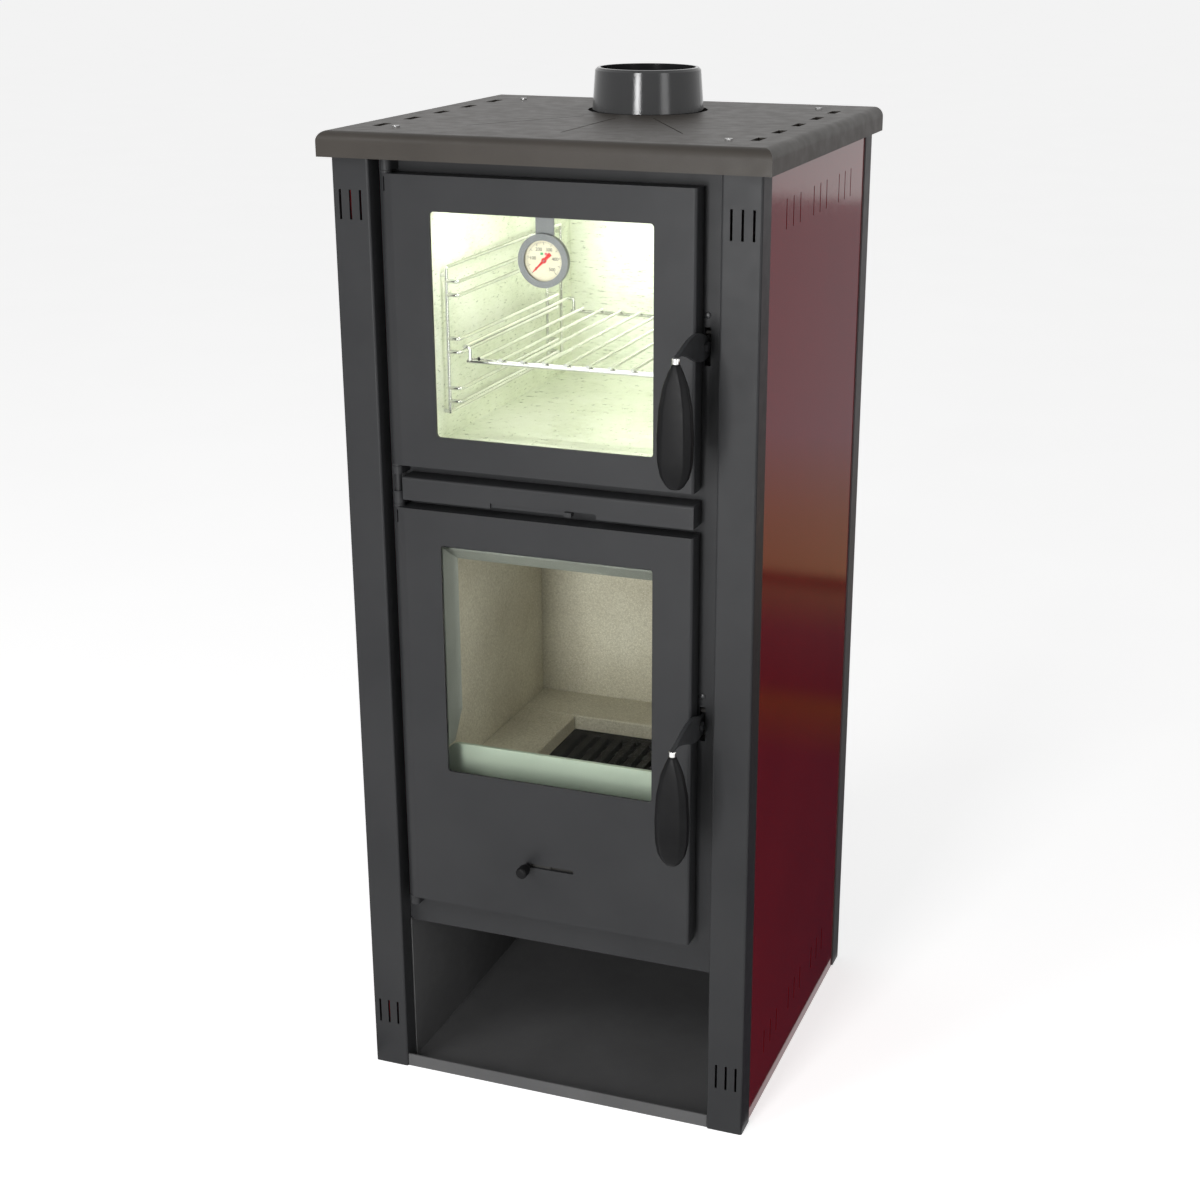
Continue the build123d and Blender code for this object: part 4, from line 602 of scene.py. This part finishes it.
def printed_bar(x_range, z_range, turn=None):
    """Flat printed bar on the dial, turned about the dial's middle if asked."""
    y_range = (PRINT_Y, PRINT_Y + PRINT_SHEET)
    corners = [(x, y, z) for x in x_range for y in y_range for z in z_range]
    faces = [(0, 1, 3, 2), (4, 6, 7, 5), (0, 4, 5, 1), (2, 3, 7, 6), (0, 2, 6, 4), (1, 5, 7, 3)]
    mesh = plain_mesh("bar", corners, faces)
    if turn is not None:
        mesh.transform(Matrix.Translation(DIAL) @ Matrix.Rotation(turn, 4, "Y"))
    return mesh


def dial_turn(step):
    """How far a step of the scale lies round the dial, in radians."""
    return math.radians(DIAL_START + DIAL_SWEEP * step / DIAL_STEPS)


def dial_marks():
    """Ticks and numbers round the dial, from 0 at the lower left to 500 at the lower right."""
    ticks, numbers = [], []
    for step in range(DIAL_STEPS + 1):
        tick = SHORT_TICK if step % LONG_TICK_EVERY else LONG_TICK
        half = tick["half"]
        ticks.append(printed_bar((-half, half), (tick["foot"], TICK_TOP), dial_turn(step)))
    for step in range(0, DIAL_STEPS + 1, NUMBER_EVERY):
        turn = dial_turn(step)
        place = DIAL + Vector((math.sin(turn) * NUMBER_RADIUS, PRINT_Y, math.cos(turn) * NUMBER_RADIUS))
        numbers.append(text_mesh(str(step * DEGREES_A_STEP), place))
    return joined("dial_ticks", ticks), joined("dial_numbers", numbers)


for piece in dial_marks():
    keep(piece, "oven_door", BLACK_INK)
for name, x, low, high in (("dial_mark_green", -PATCH_X, (0.05, 0.32, 0.10), (0.07, 0.40, 0.14)),
                           ("dial_mark_red", PATCH_X, (0.62, 0.10, 0.12), (0.72, 0.16, 0.18))):
    patch = printed_bar((x - PATCH_HALF_WIDTH, x + PATCH_HALF_WIDTH), [DIAL.z + rise for rise in PATCH_Z])
    keep(joined(name, [patch]), "oven_door", print_coat(name + "_ink", low, high, 0.5))


def dome_screw(name, z):
    """Low domed screw head on the front frame."""
    vertices, faces = [], []
    for ring in range(SCREW_RINGS + 1):
        tilt = math.pi / 2 * ring / SCREW_RINGS
        reach = SCREW_RADIUS * math.cos(tilt)
        for i in range(SCREW_SIDES):
            turn = 2 * math.pi * i / SCREW_SIDES
            vertices.append((reach * math.cos(turn), reach * math.sin(turn), SCREW_RISE * math.sin(tilt)))
    for ring in range(SCREW_RINGS):
        low, high = ring * SCREW_SIDES, (ring + 1) * SCREW_SIDES
        for i in range(SCREW_SIDES):
            j = (i + 1) % SCREW_SIDES
            faces.append((low + i, low + j, high + j, high + i))
    faces.append(tuple(range(SCREW_SIDES))[::-1])
    mesh = smooth(plain_mesh(name, vertices, faces))
    mesh.transform(Matrix.Rotation(math.pi / 2, 4, "X"))
    mesh.transform(Matrix.Translation((SCREW_X, FRAME_Y, z)))
    return linked(name, mesh)


for name, z in SCREW_Z.items():
    keep(dome_screw(name, z), "stove", ARM_PAINT)


# Floor, light and camera

def plain_floor():
    """Pale floor that reads white and keeps the shadow."""
    m = Shade("pale_floor")
    m.colour(m.ramp(m.noise(3.0, 2.0), (0.3, (0.80, 0.80, 0.80)), (0.7, (0.82, 0.82, 0.82))))
    m.put(Roughness=0.9, Specular_IOR_Level=0.0)
    path = m.node("LightPath")
    seen = m.math("MAXIMUM", path.outputs["Is Camera Ray"], path.outputs["Is Glossy Ray"])
    seen = m.math("MAXIMUM", seen, path.outputs["Is Transmission Ray"])
    glow = m.node("Emission")
    m.link(m.math("MULTIPLY", seen, FLOOR_GLOW), glow.inputs["Strength"])
    add = m.node("AddShader")
    m.link(m.bsdf.outputs["BSDF"], add.inputs[0])
    m.link(glow.outputs["Emission"], add.inputs[1])
    m.link(add.outputs["Shader"], m.out.inputs["Surface"])
    r = FLOOR_REACH
    mesh = plain_mesh("floor", [(-r, -r, 0), (r, -r, 0), (r, r, 0), (-r, r, 0)], [(0, 1, 2, 3)])
    mesh.materials.append(m.mat)
    linked("floor", mesh)


def world_light():
    """White where it is seen, softer where it lights."""
    world = bpy.data.worlds.new("studio")
    bpy.context.scene.world = world
    world.use_nodes = True
    tree = world.node_tree
    background = tree.nodes["Background"]
    path = tree.nodes.new("ShaderNodeLightPath")
    seen = path.outputs["Is Camera Ray"]
    for name in ("Is Glossy Ray", "Is Transmission Ray"):
        made = tree.nodes.new("ShaderNodeMath")
        made.operation = "MAXIMUM"
        tree.links.new(seen, made.inputs[0])
        tree.links.new(path.outputs[name], made.inputs[1])
        seen = made.outputs[0]
    stretch = tree.nodes.new("ShaderNodeMapRange")
    stretch.inputs["To Min"].default_value = WORLD_LEVEL
    stretch.inputs["To Max"].default_value = 1.0
    tree.links.new(seen, stretch.inputs["Value"])
    tree.links.new(stretch.outputs["Result"], background.inputs["Strength"])
    background.inputs["Color"].default_value = (1.0, 1.0, 1.0, 1.0)


def reflection_card(name, side):
    """Glowing card on the floor behind the set, which only reflections show: a painted reflection, dark
    near by, paler far off.
    """
    m = Shade(name + "_reflection_glow")
    m.colour(m.ramp(m.noise(2.0, 2.0), (0.3, (0.010, 0.006, 0.007)), (0.7, (0.016, 0.009, 0.010))))
    # The card glows in the listed colours, painting the reflections seen in the stove's glossy faces.
    m.put(Roughness=1.0, Specular_IOR_Level=0.0, Emission_Strength=1.0)
    apart = m.node("SeparateXYZ")
    m.link(m.place, apart.inputs["Vector"])
    last = CARD_TINTS[-1][0]
    share = m.spread(apart.outputs["Y"], 0.0, 1.0, (0.0, last))
    tints = m.ramp(share, *((y / last, tint) for y, tint in CARD_TINTS))
    m.link(tints, m.bsdf.inputs["Emission Color"])
    near, far = side * CARD_NEAR_X, side * CARD_FAR_X
    corners = [(near, CARD_FRONT_Y, CARD_Z), (far, CARD_FRONT_Y, CARD_Z),
               (far, CARD_BACK_Y, CARD_Z), (near, CARD_BACK_Y, CARD_Z)]
    mesh = plain_mesh(name, corners, [(0, 1, 2, 3)])
    mesh.materials.append(m.mat)
    card = linked(name, mesh)
    card.visible_camera = False
    card.visible_diffuse = False
    card.visible_shadow = False
    card.visible_transmission = False


def area_light(name, place, target, size, watts, colour):
    """Rectangular softbox aimed at a point."""
    light = bpy.data.lights.new(name, "AREA")
    light.shape = "RECTANGLE"
    light.size, light.size_y = size
    light.energy = watts
    light.color = colour
    lamp = linked(name, light)
    lamp.location = place
    lamp.rotation_euler = (Vector(target) - Vector(place)).to_track_quat("-Z", "Y").to_euler()


def camera():
    """The photograph's view."""
    data = bpy.data.cameras.new("camera")
    data.sensor_width = SENSOR
    data.lens = LENS
    data.shift_x, data.shift_y = SHIFT
    data.clip_end = CLIP_END
    eye = linked("camera", data)
    eye.location = EYE
    eye.rotation_euler = (math.radians(90.0 - EYE_DOWN), 0.0, math.radians(EYE_TURN))
    bpy.context.scene.camera = eye


plain_floor()
world_light()
reflection_card("left_floor_flag", -1)
reflection_card("right_floor_flag", 1)
for lamp_values in LAMPS:
    area_light(*lamp_values)
camera()
bpy.context.scene.view_settings.view_transform = "Standard"
